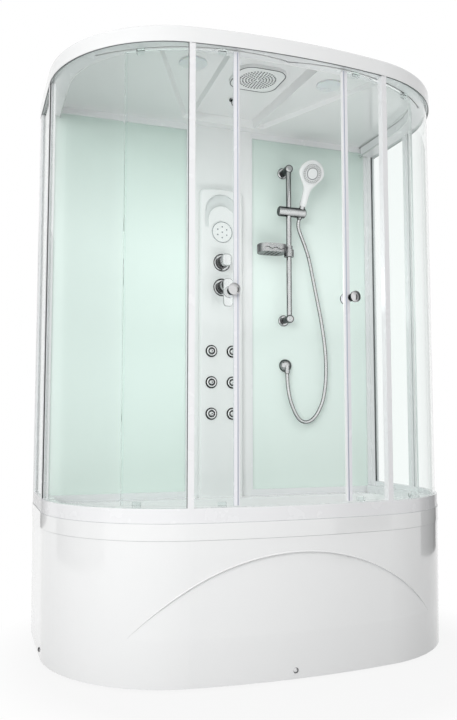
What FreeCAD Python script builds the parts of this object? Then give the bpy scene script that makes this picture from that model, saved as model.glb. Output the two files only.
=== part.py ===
"""Shower cabin with a deep tub, bowed glass walls and two sliding doors.

Millimetres and degrees. X runs to the right, Y to the rear wall and Z up.
The origin is on the floor, in the middle.
"""
import FreeCAD, Part
import math
import os
from types import SimpleNamespace

import Sketcher

# Driving sizes, kept in the document's sheet
SIZES = {
    # plan of the cabin: straight sides, round front corners, bowed front
    "width": 1500,
    "depth": 810,
    "corner_radius": 465,
    "front_radius": 2500,
    # levels above the floor
    "apron_foot": 8,
    "rim_height": 494,
    "lip_height": 50,
    "rail_height": 46,
    "fascia_foot": 2012,
    "fascia_height": 50,
    # tub
    "tub_wall": 5,
    "basin_inset": 72,
    "basin_rear": 84,
    "basin_draft": 85,
    "basin_floor": 95,
    "basin_bend": 90,
    "basin_floor_bend": 40,
    # apron with its arched scoop
    "apron_wall": 4,
    "apron_top_inset": 2,
    "apron_foot_inset": 6,
    "scoop_top_inset": 14,
    "scoop_foot_inset": 0.2,
    "arch_radius": 697,
    "arch_top": 396,
    "apron_screw_radius": 9,
    "apron_screw_rise": 5,
    "apron_screw_height": 34,
    "apron_front_screw_x": -14,
    "apron_side_screw_y": 86,
    # tub frame and feet
    "tube_side": 30,
    "tube_wall": 2,
    "long_tube_length": 1100,
    "front_tube_gap": 250,
    "rear_tube_gap": 220,
    "cross_tube_x": 470,
    "cross_tube_gap": 190,
    "upright_side": 25,
    "upright_gap": 8,
    "foot_radius": 25,
    "foot_height": 10,
    "foot_rod_radius": 6,
    "foot_rod_top": 52,
    "foot_nut_radius": 10.5,
    "foot_nut_height": 10,
    "front_foot_gap": 220,
    "rear_foot_gap": 75,
    # waste
    "drain_gap": 305,
    "waste_radius": 25,
    "waste_bore": 21,
    "waste_flange_radius": 35,
    "waste_flange": 3,
    "waste_tail": 68,
    "plug_radius": 29,
    "plug_lift": 8,
    "plug_rise": 7,
    "plug_stem_radius": 4,
    "plug_stem_length": 34,
    "spider_side": 12,
    "trap_radius": 50,
    "trap_foot": 14,
    "pipe_radius": 20,
    "pipe_bore": 17.5,
    "pipe_height": 38,
    "pipe_nut_radius": 27,
    "pipe_nut_reach": 22,
    # rails and fixed glass
    "glass": 5,
    "glass_inset": 9.5,
    "glass_play": 0.2,
    "glass_seat": 8,
    "rail_inset": 2,
    "rail_wall_inset": 24,
    "rail_ledge": 30,
    "rail_ledge_inset": 64,
    "top_rail_inset": 6,
    "top_rail_inner": 72,
    "top_rail_foot": 2016,
    "top_glass_seat": 16,
    "sheet": 5,
    # posts
    "rear_post_width": 35,
    "mid_post_width": 24,
    "jamb_width": 20,
    # rear wall
    "rear_gap": 7,
    "frame_depth": 22,
    "rear_glass_back": 14,
    "frame_bar": 26,
    "frame_inner_stile": 8,
    "frame_outer_stile": 14,
    # door track: a circle close to the line of the rails
    "track_radius": 691,
    "track_shift": 137,
    "track_inset": 41.25,
    "door_lead": 3.4,
    "door_sweep": 31.3,
    "door_close": 15.4,
    "door_open": 8,
    "door_foot": 543,
    "door_top": 2008,
    "edge_sweep": 1.5,
    "edge_depth": 12,
    "edge_glass_step": 0.5,
    "seal_sweep": 0.22,
    "seal_depth": 7,
    "tail_seal_sweep": 1.0,
    "tail_seal_depth": 9,
    "hanger_sweep": 2.2,
    "hanger_offset": 4.6,
    "hanger_depth": 16,
    "hanger_grip": 12,
    "hanger_crown": 4,
    "blade_depth": 3,
    "track_slot": 8,
    "track_lip": 8,
    "track_chamber": 26,
    "track_chamber_height": 22,
    "roller_radius": 9,
    "roller_play": 0.3,
    "roller_half_span": 11.5,
    "roller_inner_half": 5,
    "axle_radius": 2,
    "shoe_depth": 14,
    "shoe_grip": 12,
    "tongue_depth": 7,
    "groove_width": 10,
    "groove_depth": 12,
    "knob_height": 1220,
    "knob_offset": 1.96,
    "knob_screw": 4,
    "knob_spacer": 4.9,
    "knob_rosette": 13.5,
    "knob_rosette_thick": 3.7,
    "knob_neck": 8,
    "knob_cap": 19.2,
    "knob_reach": 38.5,
    "knob_cap_rim": 5,
    "knob_cap_dome": 5.5,
    "knob_cap_cone": 5,
    # control column
    "column_half": 140,
    "console_half": 95,
    "console_depth": 48,
    "crown_step": 98,
    "console_crown_radius": 700,
    "console_shoulder": 20,
    "console_bend": 10,
    "column_wall": 5,
    "cavity_step": 31,
    "niche_radius": 74,
    "niche_rise": 71,
    "niche_lap": 12,
    "tongue_radius": 58,
    "tongue_rise": 34,
    "niche_depth": 14,
    "pipe_groove": 24,
    "keypad_step": 130,
    "keypad_radius": 45,
    "keypad_rise": 4.5,
    "diverter_height": 1469,
    "mixer_step": 105,
    "valve_radius": 16,
    "valve_play": 0.3,
    "escutcheon_radius": 37,
    "escutcheon_rise": 6,
    "barrel_radius": 24,
    "barrel_reach": 50,
    "valve_gap": 6,
    "inlet_x": 50,
    "inlet_radius": 10.5,
    "inlet_stand": 5,
    "inlet_collar": 14,
    "inlet_collar_reach": 12.5,
    "inlet_bore": 7,
    "manifold_gap": 20,
    "manifold_radius": 12,
    "knob_spindle": 6,
    "knob_spindle_length": 10,
    "diverter_knob_width": 38,
    "diverter_knob_height": 50,
    "diverter_knob_bend": 12,
    "diverter_knob_rise": 22,
    "knob_gap": 0.3,
    "mixer_cap_rise": 14,
    "mixer_ball": 9,
    "mixer_stalk": 7,
    "lever_gap": 10,
    "lever_width": 40,
    "lever_above": 24,
    "lever_below": 92,
    "lever_thick": 12,
    "lever_bend": 15,
    "jet_x": 46,
    "jet_top": 1095,
    "jet_pitch": 129.5,
    "jet_rim": 25,
    "jet_socket": 18,
    "jet_ball": 12,
    "jet_play": 0.4,
    "jet_depth": 16,
    "jet_snout": 6,
    "jet_snout_reach": 14,
    "branch_radius": 6,
    "branch_cap": 16,
    "branch_cap_depth": 5,
    "control_box_half": 60,
    "control_box_depth": 36,
    "control_box_foot": 600,
    "control_box_height": 140,
    # shower set
    "riser_x": 295,
    "riser_stand": 78,
    "riser_radius": 11,
    "riser_foot": 1240,
    "riser_top": 1896,
    "riser_end": 8,
    "bracket_rosette": 24,
    "bracket_arm": 14,
    "bracket_head": 17.5,
    "bracket_head_length": 34,
    "slide_play": 0.3,
    "slider_height": 1707,
    "slider_radius": 21.5,
    "slider_left": 48,
    "slider_right": 36.7,
    "cradle_gap": 0.3,
    "cradle_length": 40,
    "pivot_radius": 6,
    "pivot_length": 4.8,
    "cone_radius": 12,
    "cone_play": 0.3,
    "cone_below": 28,
    "cone_above": 30,
    "cone_end_radius": 9,
    "cradle_lean": 22,
    "cradle_cant": 8,
    "head_distance": 173,
    "head_radius": 58,
    "head_depth": 24,
    "handle_radius": 15,
    "handle_top_radius": 15.5,
    "face_radius": 47,
    "face_depth": 4,
    "face_play": 0.3,
    "outlet_x": 302,
    "outlet_height": 1045,
    "outlet_radius": 28,
    "outlet_tail_radius": 9,
    "outlet_spout_wall": 3,
    "outlet_spout_stand": 22,
    "outlet_spout_drop": 35,
    "hose_radius": 7.5,
    "dish_height": 1533,
    "collar_radius": 16,
    "collar_flange": 21,
    "collar_height": 48,
    "collar_flange_height": 10,
    "dish_ring_height": 20,
    "dish_play": 0.3,
    "dish_length": 122,
    "dish_width": 84,
    "dish_height_outer": 36,
    "dish_wall": 3,
    "dish_bend": 34,
    "dish_slot_width": 8,
    "dish_slot_length": 70,
    "dish_slot_pitch": 18,
    # roof
    "fascia_bend": 8,
    "strip_front_half": 165,
    "strip_rear_half": 138,
    "strip_front_gap": 87,
    "strip_rear_gap": 75,
    "strip_rise": 32,
    "lobe_gap": 9,
    "lobe_rear_half": 34,
    "lobe_side_gap": 330,
    "lobe_corner_gap": 190,
    "lobe_front_gap": 100,
    "lobe_front_side": 430,
    "lobe_rise": 16,
    "recess_slope": 10,
    "rain_half": 95,
    "rain_bend": 55,
    "rain_gap": 344,
    "rain_depth": 12,
    "rain_stem_radius": 10,
    "rain_stem_rise": 26,
    "light_shift": 22.5,
    "light_front_gap": 285,
    "light_radius": 50,
    "light_depth": 6,
    "spout_x": -20,
    "spout_gap": 252,
    "spout_radius": 16,
    "spout_reach": 24,
    "riser_hose_radius": 6,
    "riser_hose_gap": 7,
    "riser_hose_bend": 30,
    "riser_hose_rise": 12,
    "hole_play": 0.3,
}

doc = FreeCAD.newDocument("ShowerCabin")
sheet = doc.addObject("Spreadsheet::Sheet", "Sizes")
for row, (alias, number) in enumerate(SIZES.items(), 1):
    sheet.set(f"A{row}", alias)
    sheet.set(f"B{row}", str(number))
    sheet.setAlias(f"B{row}", alias)
doc.recompute()


class Size:
    """A number together with the sheet formula that gives it."""

    def __init__(self, value, formula):
        self.value = float(value)
        self.formula = formula

    def __add__(self, other):
        other = sized(other)
        return Size(self.value + other.value, f"({self.formula} + {other.formula})")

    def __sub__(self, other):
        other = sized(other)
        return Size(self.value - other.value, f"({self.formula} - {other.formula})")

    def __mul__(self, other):
        other = sized(other)
        return Size(self.value * other.value, f"({self.formula} * {other.formula})")

    def __truediv__(self, other):
        other = sized(other)
        return Size(self.value / other.value, f"({self.formula} / {other.formula})")

    def __neg__(self):
        return Size(-self.value, f"(-{self.formula})")

    def __radd__(self, other):
        return sized(other) + self

    def __rsub__(self, other):
        return sized(other) - self

    def __rmul__(self, other):
        return sized(other) * self


def sized(number):
    """Gives a plain number the form of a Size."""
    return number if isinstance(number, Size) else Size(number, f"({float(number)!r})")


def root(size):
    return Size(math.sqrt(size.value), f"sqrt({size.formula})")


def sine(degrees):
    return Size(math.sin(math.radians(degrees.value)), f"sin({degrees.formula})")


def cosine(degrees):
    return Size(math.cos(math.radians(degrees.value)), f"cos({degrees.formula})")


S = SimpleNamespace(**{name: Size(float(sheet.get(name)), f"Sizes.{name}") for name in SIZES})

UP = FreeCAD.Rotation()
FRONT = FreeCAD.Rotation(FreeCAD.Vector(1, 0, 0), 90)
REAR = FreeCAD.Rotation(FreeCAD.Vector(1, 0, 0), -90)
RIGHT = FreeCAD.Rotation(FreeCAD.Vector(0, 1, 0), 90)


# Drawing and solid helpers


def bind(thing, sizes):
    """Ties properties of an object to formulas of the sheet."""
    for path, size in sizes.items():
        thing.setExpression(path, sized(size).formula)


def place(thing, at, turn=UP):
    """Puts a piece at a point, turned by a fixed rotation."""
    x, y, z = (sized(part) for part in at)
    thing.Placement = FreeCAD.Placement(FreeCAD.Vector(x.value, y.value, z.value), turn)
    bind(thing, {"Placement.Base.x": x, "Placement.Base.y": y, "Placement.Base.z": z})
    return thing


def bend(x, y, radius, clockwise=False):
    """The round stretch that leaves a corner of a drawn loop: its centre, radius and sense."""
    return SimpleNamespace(x=sized(x), y=sized(y), radius=sized(radius), clockwise=clockwise)


def arc_edge(start, end, turn):
    """An arc about the bend's centre; arcs run counter-clockwise, so a clockwise one swaps its ends."""
    first, last = (end, start) if turn.clockwise else (start, end)
    angles = [math.atan2(y.value - turn.y.value, x.value - turn.x.value) for x, y in (first, last)]
    centre = FreeCAD.Vector(turn.x.value, turn.y.value, 0)
    circle = Part.Circle(centre, FreeCAD.Vector(0, 0, 1), turn.radius.value)
    return Part.ArcOfCircle(circle, *angles)


def hold(sketch, kind, size, *ends):
    """Adds one dimension to a sketch and ties it to its formula."""
    number = sketch.addConstraint(Sketcher.Constraint(kind, *ends, size.value))
    sketch.setExpression(f"Constraints[{number}]", size.formula)


def draw_loop(sketch, corners):
    """Draws a closed loop. A corner is (x, y), or (x, y, bend) where an arc leads to the next corner."""
    edges = []
    for here, there in zip(corners, corners[1:] + corners[:1]):
        start = [sized(part) for part in here[:2]]
        end = [sized(part) for part in there[:2]]
        turn = here[2] if len(here) > 2 else None
        if turn:
            number = sketch.addGeometry(arc_edge(start, end, turn))
            hold(sketch, "Radius", turn.radius, number)
        else:
            points = [FreeCAD.Vector(x.value, y.value, 0) for x, y in (start, end)]
            number = sketch.addGeometry(Part.LineSegment(*points))
        first, last = (2, 1) if turn and turn.clockwise else (1, 2)
        edges.append((number, first, last, start))
    for (edge, _, last, _), (after, first, _, _) in zip(edges, edges[1:] + edges[:1]):
        sketch.addConstraint(Sketcher.Constraint("Coincident", edge, last, after, first))
    for edge, first, _, (x, y) in edges:
        hold(sketch, "DistanceX", x, -1, 1, edge, first)
        hold(sketch, "DistanceY", y, -1, 1, edge, first)


def draw(body, plane, loops, lift=0):
    """A sketch on one of the body's own planes, lifted along the plane's normal."""
    sketch = body.newObject("Sketcher::SketchObject", body.Name + "_sketch")
    support = next(plane_ for plane_ in body.Origin.OriginFeatures if plane_.Role == plane)
    sketch.AttachmentSupport = [(support, "")]
    sketch.MapMode = "FlatFace"
    bind(sketch, {"AttachmentOffset.Base.z": lift})
    for loop in loops:
        draw_loop(sketch, loop)
    return sketch


def new_body(name):
    return doc.addObject("PartDesign::Body", name)


def pad(name, loops, low, height, plane="XY_Plane"):
    """Loops drawn on a plane at a level and raised by a height along the plane's normal."""
    body = new_body(name)
    feature = body.newObject("PartDesign::Pad", name + "_pad")
    feature.Profile = draw(body, plane, loops, low)
    bind(feature, {"Length": height})
    return body


def pad_back(name, loops, front, back):
    """Loops drawn in X and Z and raised from one depth to another along Y."""
    return pad(name, loops, -sized(back), sized(back) - front, "XZ_Plane")


def lofted(name, sections, plane="XY_Plane"):
    """A ruled solid through loops drawn at several levels."""
    body = new_body(name)
    sketches = [draw(body, plane, [loop], level) for loop, level in sections]
    feature = body.newObject("PartDesign::AdditiveLoft", name + "_loft")
    feature.Profile = sketches[0]
    feature.Sections = sketches[1:]
    feature.Ruled = True
    return body


def turned(name, outline, at, turn=UP, sweep=360):
    """An outline of (radius, distance along the axis) turned about an axis that starts at a point."""
    body = new_body(name)
    sketch = draw(body, "XZ_Plane", [outline])
    feature = body.newObject("PartDesign::Revolution", name + "_turn")
    feature.Profile = sketch
    feature.ReferenceAxis = (sketch, ["V_Axis"])
    bind(feature, {"Angle": sweep})
    return place(body, at, turn)


def rounded(body, radius, chosen):
    """Rounds the edges of a body that a test picks."""
    doc.recompute()
    tip = body.Tip
    names = [f"Edge{number}" for number, edge in enumerate(tip.Shape.Edges, 1) if chosen(edge)]
    feature = body.newObject("PartDesign::Fillet", body.Name + "_round")
    feature.Base = (tip, names)
    bind(feature, {"Radius": radius})
    return body


def box(name, x, y, z):
    """A box between pairs of X, Y and Z."""
    piece = doc.addObject("Part::Box", name)
    bind(piece, {"Length": sized(x[1]) - x[0], "Width": sized(y[1]) - y[0], "Height": sized(z[1]) - z[0]})
    return place(piece, (x[0], y[0], z[0]))


def rod(name, radius, length, at, turn=UP):
    piece = doc.addObject("Part::Cylinder", name)
    bind(piece, {"Radius": radius, "Height": length})
    return place(piece, at, turn)


def fuse(name, *pieces):
    piece = doc.addObject("Part::MultiFuse", name)
    piece.Shapes = list(pieces)
    return piece


def cut(name, base, *tools):
    piece = doc.addObject("Part::Cut", name)
    piece.Base = base
    piece.Tool = tools[0] if len(tools) == 1 else fuse(name + "_tools", *tools)
    return piece


def common(name, *pieces):
    """The room that all the pieces share."""
    piece = doc.addObject("Part::MultiCommon", name)
    piece.Shapes = list(pieces)
    return piece


def mirrored(name, source):
    """The same piece on the other side of the cabin."""
    piece = doc.addObject("Part::Mirroring", name)
    piece.Source = source
    piece.Normal = FreeCAD.Vector(1, 0, 0)
    return piece


def group(name, *pieces):
    """Separate solids that share a node."""
    piece = doc.addObject("Part::Compound", name)
    piece.Links = list(pieces)
    return piece


def pair(name, left):
    """A left piece and its mirror image as one node."""
    return group(name, left, mirrored(name + "_right", left))


def rounded_rectangle(x, y, half_width, half_height, radius):
    """A rectangle about a point with four round corners."""
    inner_x = sized(half_width) - radius
    inner_y = sized(half_height) - radius
    x = sized(x)
    y = sized(y)
    return [
        (x + half_width, y + inner_y, bend(x + inner_x, y + inner_y, radius)),
        (x + inner_x, y + half_height),
        (x - inner_x, y + half_height, bend(x - inner_x, y + inner_y, radius)),
        (x - half_width, y + inner_y),
        (x - half_width, y - inner_y, bend(x - inner_x, y - inner_y, radius)),
        (x - inner_x, y - half_height),
        (x + inner_x, y - half_height, bend(x + inner_x, y - inner_y, radius)),
        (x + half_width, y - inner_y),
    ]


# The cabin's plan

LEAN = (S.width / 2 - S.corner_radius) / (S.front_radius - S.corner_radius)
STAND = root(1 - LEAN * LEAN)
FRONT_CENTRE = S.front_radius - S.depth / 2
CORNER_X = S.width / 2 - S.corner_radius
CORNER_Y = FRONT_CENTRE - (S.front_radius - S.corner_radius) * STAND
FRONT_EDGE = -S.depth / 2
REAR_WALL = S.depth / 2
REAR_FACE = REAR_WALL - S.rear_gap
REAR_GLASS_FRONT = REAR_FACE - S.rear_glass_back
CONSOLE_FRONT = REAR_FACE - S.console_depth
LIP_FOOT = S.rim_height - S.lip_height
SILL = S.rim_height + S.rail_height
CEILING = S.fascia_foot + S.fascia_height
LEDGE = S.rim_height + S.rail_ledge
GLASS_INNER = S.glass_inset + S.glass


def jamb_point(inset):
    """Where the round corner meets the bowed front on the right, drawn in by an inset."""
    reach = S.front_radius - inset
    return LEAN * reach, FRONT_CENTRE - STAND * reach


def cabin_front(inset):
    """The plan's corners from the left side round the front to the right side."""
    side = S.width / 2 - inset
    corner = S.corner_radius - inset
    x, y = jamb_point(inset)
    return [
        (-side, CORNER_Y, bend(-CORNER_X, CORNER_Y, corner)),
        (-x, y, bend(0, FRONT_CENTRE, S.front_radius - inset)),
        (x, y, bend(CORNER_X, CORNER_Y, corner)),
        (side, CORNER_Y),
    ]


def cabin_plan(inset, rear=None):
    """The whole plan, drawn in by an inset, closed by a straight rear edge."""
    inset = sized(inset)
    rear = REAR_WALL - inset if rear is None else sized(rear)
    side = S.width / 2 - inset
    return [(side, rear), (-side, rear)] + cabin_front(inset)


def basin_plan(inset, rear, rear_bend):
    """The plan with round rear corners, for the bowl of the tub."""
    side = S.width / 2 - inset
    return [
        (side, rear - rear_bend, bend(side - rear_bend, rear - rear_bend, rear_bend)),
        (side - rear_bend, rear),
        (rear_bend - side, rear, bend(rear_bend - side, rear - rear_bend, rear_bend)),
        (-side, rear - rear_bend),
    ] + cabin_front(inset)


def cabin_band(outer, inner, rear):
    """A band that follows the sides and the front, open to the rear."""
    x, y = jamb_point(inner)
    side = S.width / 2 - inner
    corner = S.corner_radius - inner
    outer_side = S.width / 2 - outer
    return [(-outer_side, rear)] + cabin_front(outer) + [
        (outer_side, rear),
        (side, rear),
        (side, CORNER_Y, bend(CORNER_X, CORNER_Y, corner, True)),
        (x, y, bend(0, FRONT_CENTRE, S.front_radius - inner, True)),
        (-x, y, bend(-CORNER_X, CORNER_Y, corner, True)),
        (-side, CORNER_Y),
        (-side, rear),
    ]


def sector(name, outline, start, sweep, x, y):
    """An outline of (radius, height) swept round an upright axis from a start angle."""
    start = sized(start)
    turn = FreeCAD.Rotation(FreeCAD.Vector(0, 0, 1), start.value)
    return turned(name, outline, (x, y, 0), turn, sweep)


def strip(inner, outer, low, high):
    """A rectangle of radius and height."""
    return [(inner, low), (outer, low), (outer, high), (inner, high)]


# Tub, apron and what carries them

DRAIN_Y = REAR_WALL - S.drain_gap
FRONT_TUBE_Y = FRONT_EDGE + S.front_tube_gap
REAR_TUBE_Y = REAR_WALL - S.rear_tube_gap
CROSS_FRONT = FRONT_EDGE + S.cross_tube_gap
FRONT_FOOT_Y = FRONT_EDGE + S.front_foot_gap
REAR_FOOT_Y = REAR_WALL - S.rear_foot_gap


def bowl(name, wall):
    """The bowl of the tub, grown outwards by a wall: a floor, a rounded knuckle and leaning walls."""
    wall = sized(wall)
    bend_size = S.basin_floor_bend
    draft = S.basin_draft
    steps = [(0, draft + bend_size), (0.15, draft + bend_size * 0.45), (0.5, draft + bend_size * 0.1)]
    sections = []
    for share, draft in steps + [(None, sized(0))]:
        level = S.rim_height if share is None else S.basin_floor - wall + bend_size * share
        inset = S.basin_inset + draft - wall
        rear = REAR_WALL - S.basin_rear - draft + wall
        sections.append((basin_plan(inset, rear, S.basin_bend + wall), level))
    return lofted(name, sections)


def tub_shell():
    block = pad("rim_block", [cabin_plan(0)], LIP_FOOT, S.lip_height)
    hollow = pad("rim_hollow", [cabin_plan(S.tub_wall)], LIP_FOOT, S.lip_height - S.tub_wall)
    blank = fuse("tub_blank", cut("rim", block, hollow), bowl("bowl_outside", S.tub_wall))
    drain_radius = S.waste_radius + S.hole_play
    drain = rod("drain_hole", drain_radius, S.tub_wall * 3, (0, DRAIN_Y, S.basin_floor - S.tub_wall * 2))
    return cut("tub_shell", blank, bowl("bowl_inside", 0), drain)


def apron_form(name, skin):
    """The apron's outer form drawn in by a skin: a leaning wall with an arched scoop that fades out downwards."""
    skin = sized(skin)
    rear = REAR_WALL - S.apron_top_inset + skin

    def wall(part, top, foot):
        sections = [(cabin_plan(foot + skin, rear), S.apron_foot), (cabin_plan(top + skin, rear), LIP_FOOT)]
        return lofted(name + part, sections)

    full = wall("_full", S.apron_top_inset, S.apron_foot_inset)
    scooped = wall("_scooped", S.scoop_top_inset, S.scoop_foot_inset)
    arch = rod(name + "_arch", S.arch_radius + skin, S.depth, (0, 0, S.arch_top - S.arch_radius), FRONT)
    return cut(name, full, cut(name + "_scoop", arch, scooped))


def apron_surface(z, top, foot):
    """How far the apron's wall is drawn in at a height."""
    return top + (foot - top) * (LIP_FOOT - z) / (LIP_FOOT - S.apron_foot)


def dome_screw(name, at, turn):
    radius = S.apron_screw_radius
    rise = S.apron_screw_rise
    ball = (radius * radius + rise * rise) / (rise * 2)
    outline = [(0, 0), (radius, 0, bend(0, rise - ball, ball)), (0, rise)]
    return turned(name, outline, at, turn)


def apron_screws():
    z = S.apron_screw_height
    inset = apron_surface(z, S.apron_top_inset, S.apron_foot_inset) - S.glass_play
    front_at = (S.apron_front_screw_x, inset - S.depth / 2, z)
    middle = dome_screw("apron_screw_front", front_at, FRONT)
    left_turn = FreeCAD.Rotation(FreeCAD.Vector(0, 1, 0), -90)
    left = dome_screw("apron_screw_left", (inset - S.width / 2, S.apron_side_screw_y, z), left_turn)
    right = mirrored("apron_screw_right", left)
    return group("apron_screws", middle, left, right)


TUB_FOOT = S.basin_floor - S.tub_wall
LONG_FOOT = TUB_FOOT - S.tube_side
CROSS_FOOT = LONG_FOOT - S.tube_side
CROSS_END = REAR_WALL - S.upright_gap


def long_tube(name, y):
    half = S.long_tube_length / 2
    outer = box(name + "_outer", (-half, half), (y, y + S.tube_side), (LONG_FOOT, TUB_FOOT))
    wall = S.tube_wall
    inside_y = (y + wall, y + S.tube_side - wall)
    inner = box(name + "_inner", (-half, half), inside_y, (LONG_FOOT + wall, TUB_FOOT - wall))
    return cut(name, outer, inner)


def foot_places():
    return [(x, y) for x in (-S.cross_tube_x, S.cross_tube_x) for y in (FRONT_FOOT_Y, REAR_FOOT_Y)]


def cross_tube():
    x = -S.cross_tube_x - S.tube_side / 2
    wall = S.tube_wall
    y = (CROSS_FRONT, CROSS_END)
    outer = box("cross_outer", (x, x + S.tube_side), y, (CROSS_FOOT, LONG_FOOT))
    inner_x = (x + wall, x + S.tube_side - wall)
    inner = box("cross_inner", inner_x, y, (CROSS_FOOT + wall, LONG_FOOT - wall))
    holes = []
    for number, foot_y in enumerate((FRONT_FOOT_Y, REAR_FOOT_Y)):
        at = (-S.cross_tube_x, foot_y, CROSS_FOOT - wall)
        holes.append(rod(f"foot_hole_{number}", S.foot_rod_radius + S.hole_play, wall * 3, at))
    return cut("cross_tube", outer, inner, *holes)


def upright():
    half = S.upright_side / 2
    x = (-S.cross_tube_x - half, half - S.cross_tube_x)
    y = (CROSS_END - S.upright_side, CROSS_END)
    top = S.rim_height - S.tub_wall
    wall = S.tube_wall
    outer = box("upright_outer", x, y, (LONG_FOOT, top))
    inner = box("upright_inner", (x[0] + wall, x[1] - wall), (y[0] + wall, y[1] - wall), (LONG_FOOT, top))
    return cut("upright", outer, inner)


def tub_frame():
    cross = cross_tube()
    post = upright()
    return group(
        "tub_frame",
        long_tube("front_long_tube", FRONT_TUBE_Y),
        long_tube("rear_long_tube", REAR_TUBE_Y),
        cross,
        mirrored("cross_tube_right", cross),
        post,
        mirrored("upright_right", post),
    )


def levelling_feet():
    pieces = []
    edge = S.foot_height / 4
    rod_radius = S.foot_rod_radius
    outline = [
        (0, 0),
        (S.foot_radius, 0),
        (S.foot_radius, S.foot_height - edge),
        (S.foot_radius - edge, S.foot_height),
        (rod_radius, S.foot_height),
        (rod_radius, S.foot_rod_top),
        (0, S.foot_rod_top),
    ]
    bore = rod_radius + S.hole_play
    nut = strip(bore, S.foot_nut_radius, CROSS_FOOT - S.foot_nut_height, CROSS_FOOT)
    for number, (x, y) in enumerate(foot_places()):
        pieces.append(turned(f"foot_{number}", outline, (x, y, 0)))
        pieces.append(turned(f"foot_nut_{number}", nut, (x, y, 0)))
    return group("levelling_feet", *pieces)


def waste_fitting():
    """Flange and tail of the waste, with a bar across the bore that guides the plug's stem."""
    top = S.basin_floor + S.waste_flange
    outline = [
        (S.waste_bore, S.waste_tail),
        (S.waste_radius, S.waste_tail),
        (S.waste_radius, S.basin_floor),
        (S.waste_flange_radius, S.basin_floor),
        (S.waste_flange_radius - S.waste_flange, top),
        (S.waste_bore, top),
    ]
    sleeve = turned("waste_sleeve", outline, (0, DRAIN_Y, 0))
    half = S.spider_side / 2
    bar_y = (DRAIN_Y - half, DRAIN_Y + half)
    bar_top = S.waste_tail + S.spider_side
    bar = box("waste_bar", (-S.waste_bore - 1, S.waste_bore + 1), bar_y, (S.waste_tail, bar_top))
    guide_radius = S.plug_stem_radius + S.hole_play
    guide = rod("waste_guide", guide_radius, S.spider_side * 2, (0, DRAIN_Y, S.waste_tail - 1))
    return cut("waste_fitting", fuse("waste_body", sleeve, bar), guide)


def drain_plug():
    """Press plug, standing open above its flange."""
    seat = S.basin_floor + S.waste_flange + S.hole_play + S.plug_lift
    radius = S.plug_radius
    rise = S.plug_rise
    ball = (radius * radius + rise * rise) / (rise * 2)
    rim = S.waste_flange
    outline = [
        (0, seat - S.plug_stem_length),
        (S.plug_stem_radius, seat - S.plug_stem_length),
        (S.plug_stem_radius, seat),
        (radius, seat),
        (radius, seat + rim, bend(0, seat + rim + rise - ball, ball)),
        (0, seat + rim + rise),
    ]
    return turned("drain_plug", outline, (0, DRAIN_Y, 0))


def waste_trap():
    """Flat trap under the waste, with its outlet pipe to the rear."""
    wall = S.pipe_radius - S.pipe_bore
    top = S.waste_tail
    outline = [
        (0, S.trap_foot),
        (S.trap_radius, S.trap_foot),
        (S.trap_radius, top),
        (S.waste_bore, top),
        (S.waste_bore, top - wall),
        (S.trap_radius - wall, top - wall),
        (S.trap_radius - wall, S.trap_foot + wall),
        (0, S.trap_foot + wall),
    ]
    cup = turned("trap_cup", outline, (0, DRAIN_Y, 0))
    length = REAR_FACE - DRAIN_Y
    at = (0, DRAIN_Y, S.pipe_height)
    pipe = rod("trap_pipe", S.pipe_radius, length, at, REAR)
    nut_length = S.trap_radius + S.pipe_nut_reach
    nut = rod("trap_nut", S.pipe_nut_radius, nut_length, at, REAR)
    room = strip(0, S.trap_radius - wall, S.trap_foot + wall, top - wall)
    inside = turned("trap_inside", room, (0, DRAIN_Y, 0))
    bore = rod("trap_bore", S.pipe_bore, length, at, REAR)
    return cut("waste_trap", fuse("trap_blank", cup, pipe, nut), inside, bore)


# Rails, posts and fixed glass

POST_FRONT = REAR_FACE - S.rear_post_width
GROOVE_OUTER = S.glass_inset - S.glass_play
GROOVE_INNER = GLASS_INNER + S.glass_play
TOP_SEAT = S.top_rail_foot + S.top_glass_seat
DOOR_TAIL = S.door_lead + S.door_sweep
JAMB_X, JAMB_Y = jamb_point(S.track_inset)
TRACK_X = CORNER_X - S.track_shift
TRACK_Y = JAMB_Y + root(S.track_radius * S.track_radius - (JAMB_X - TRACK_X) * (JAMB_X - TRACK_X))
TRACK_FIRST = S.door_lead - S.door_close
TRACK_LAST = DOOR_TAIL + S.door_open


def door_sector(name, outline, first, last):
    """A piece bent to the left door's track between two angles from straight ahead."""
    last = sized(last)
    return sector(name, outline, -90 - last, last - first, -TRACK_X, TRACK_Y)


def track_groove(name, width, low, high):
    """The room that a sliding piece needs along the left and the right track."""
    half = sized(width) / 2
    outline = strip(S.track_radius - half, S.track_radius + half, low, high)
    left = door_sector(name + "_left", outline, TRACK_FIRST - 1, TRACK_LAST + 1)
    return left, mirrored(name + "_right", left)


def bottom_rail():
    """Rail on the tub's rim: a wall that holds the fixed glass and a ledge with the doors' guide grooves."""
    base_band = cabin_band(S.rail_inset, S.rail_ledge_inset, POST_FRONT)
    base = pad("rail_base", [base_band], S.rim_height, S.rail_ledge)
    wall_height = S.rail_height - S.rail_ledge
    outer = pad("rail_outer", [cabin_band(S.rail_inset, GROOVE_OUTER, POST_FRONT)], LEDGE, wall_height)
    inner = pad("rail_inner", [cabin_band(GROOVE_INNER, S.rail_wall_inset, POST_FRONT)], LEDGE, wall_height)
    grooves = track_groove("guide_groove", S.groove_width, LEDGE - S.groove_depth, LEDGE)
    return cut("bottom_rail", fuse("rail_blank", base, outer, inner), *grooves)


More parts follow.
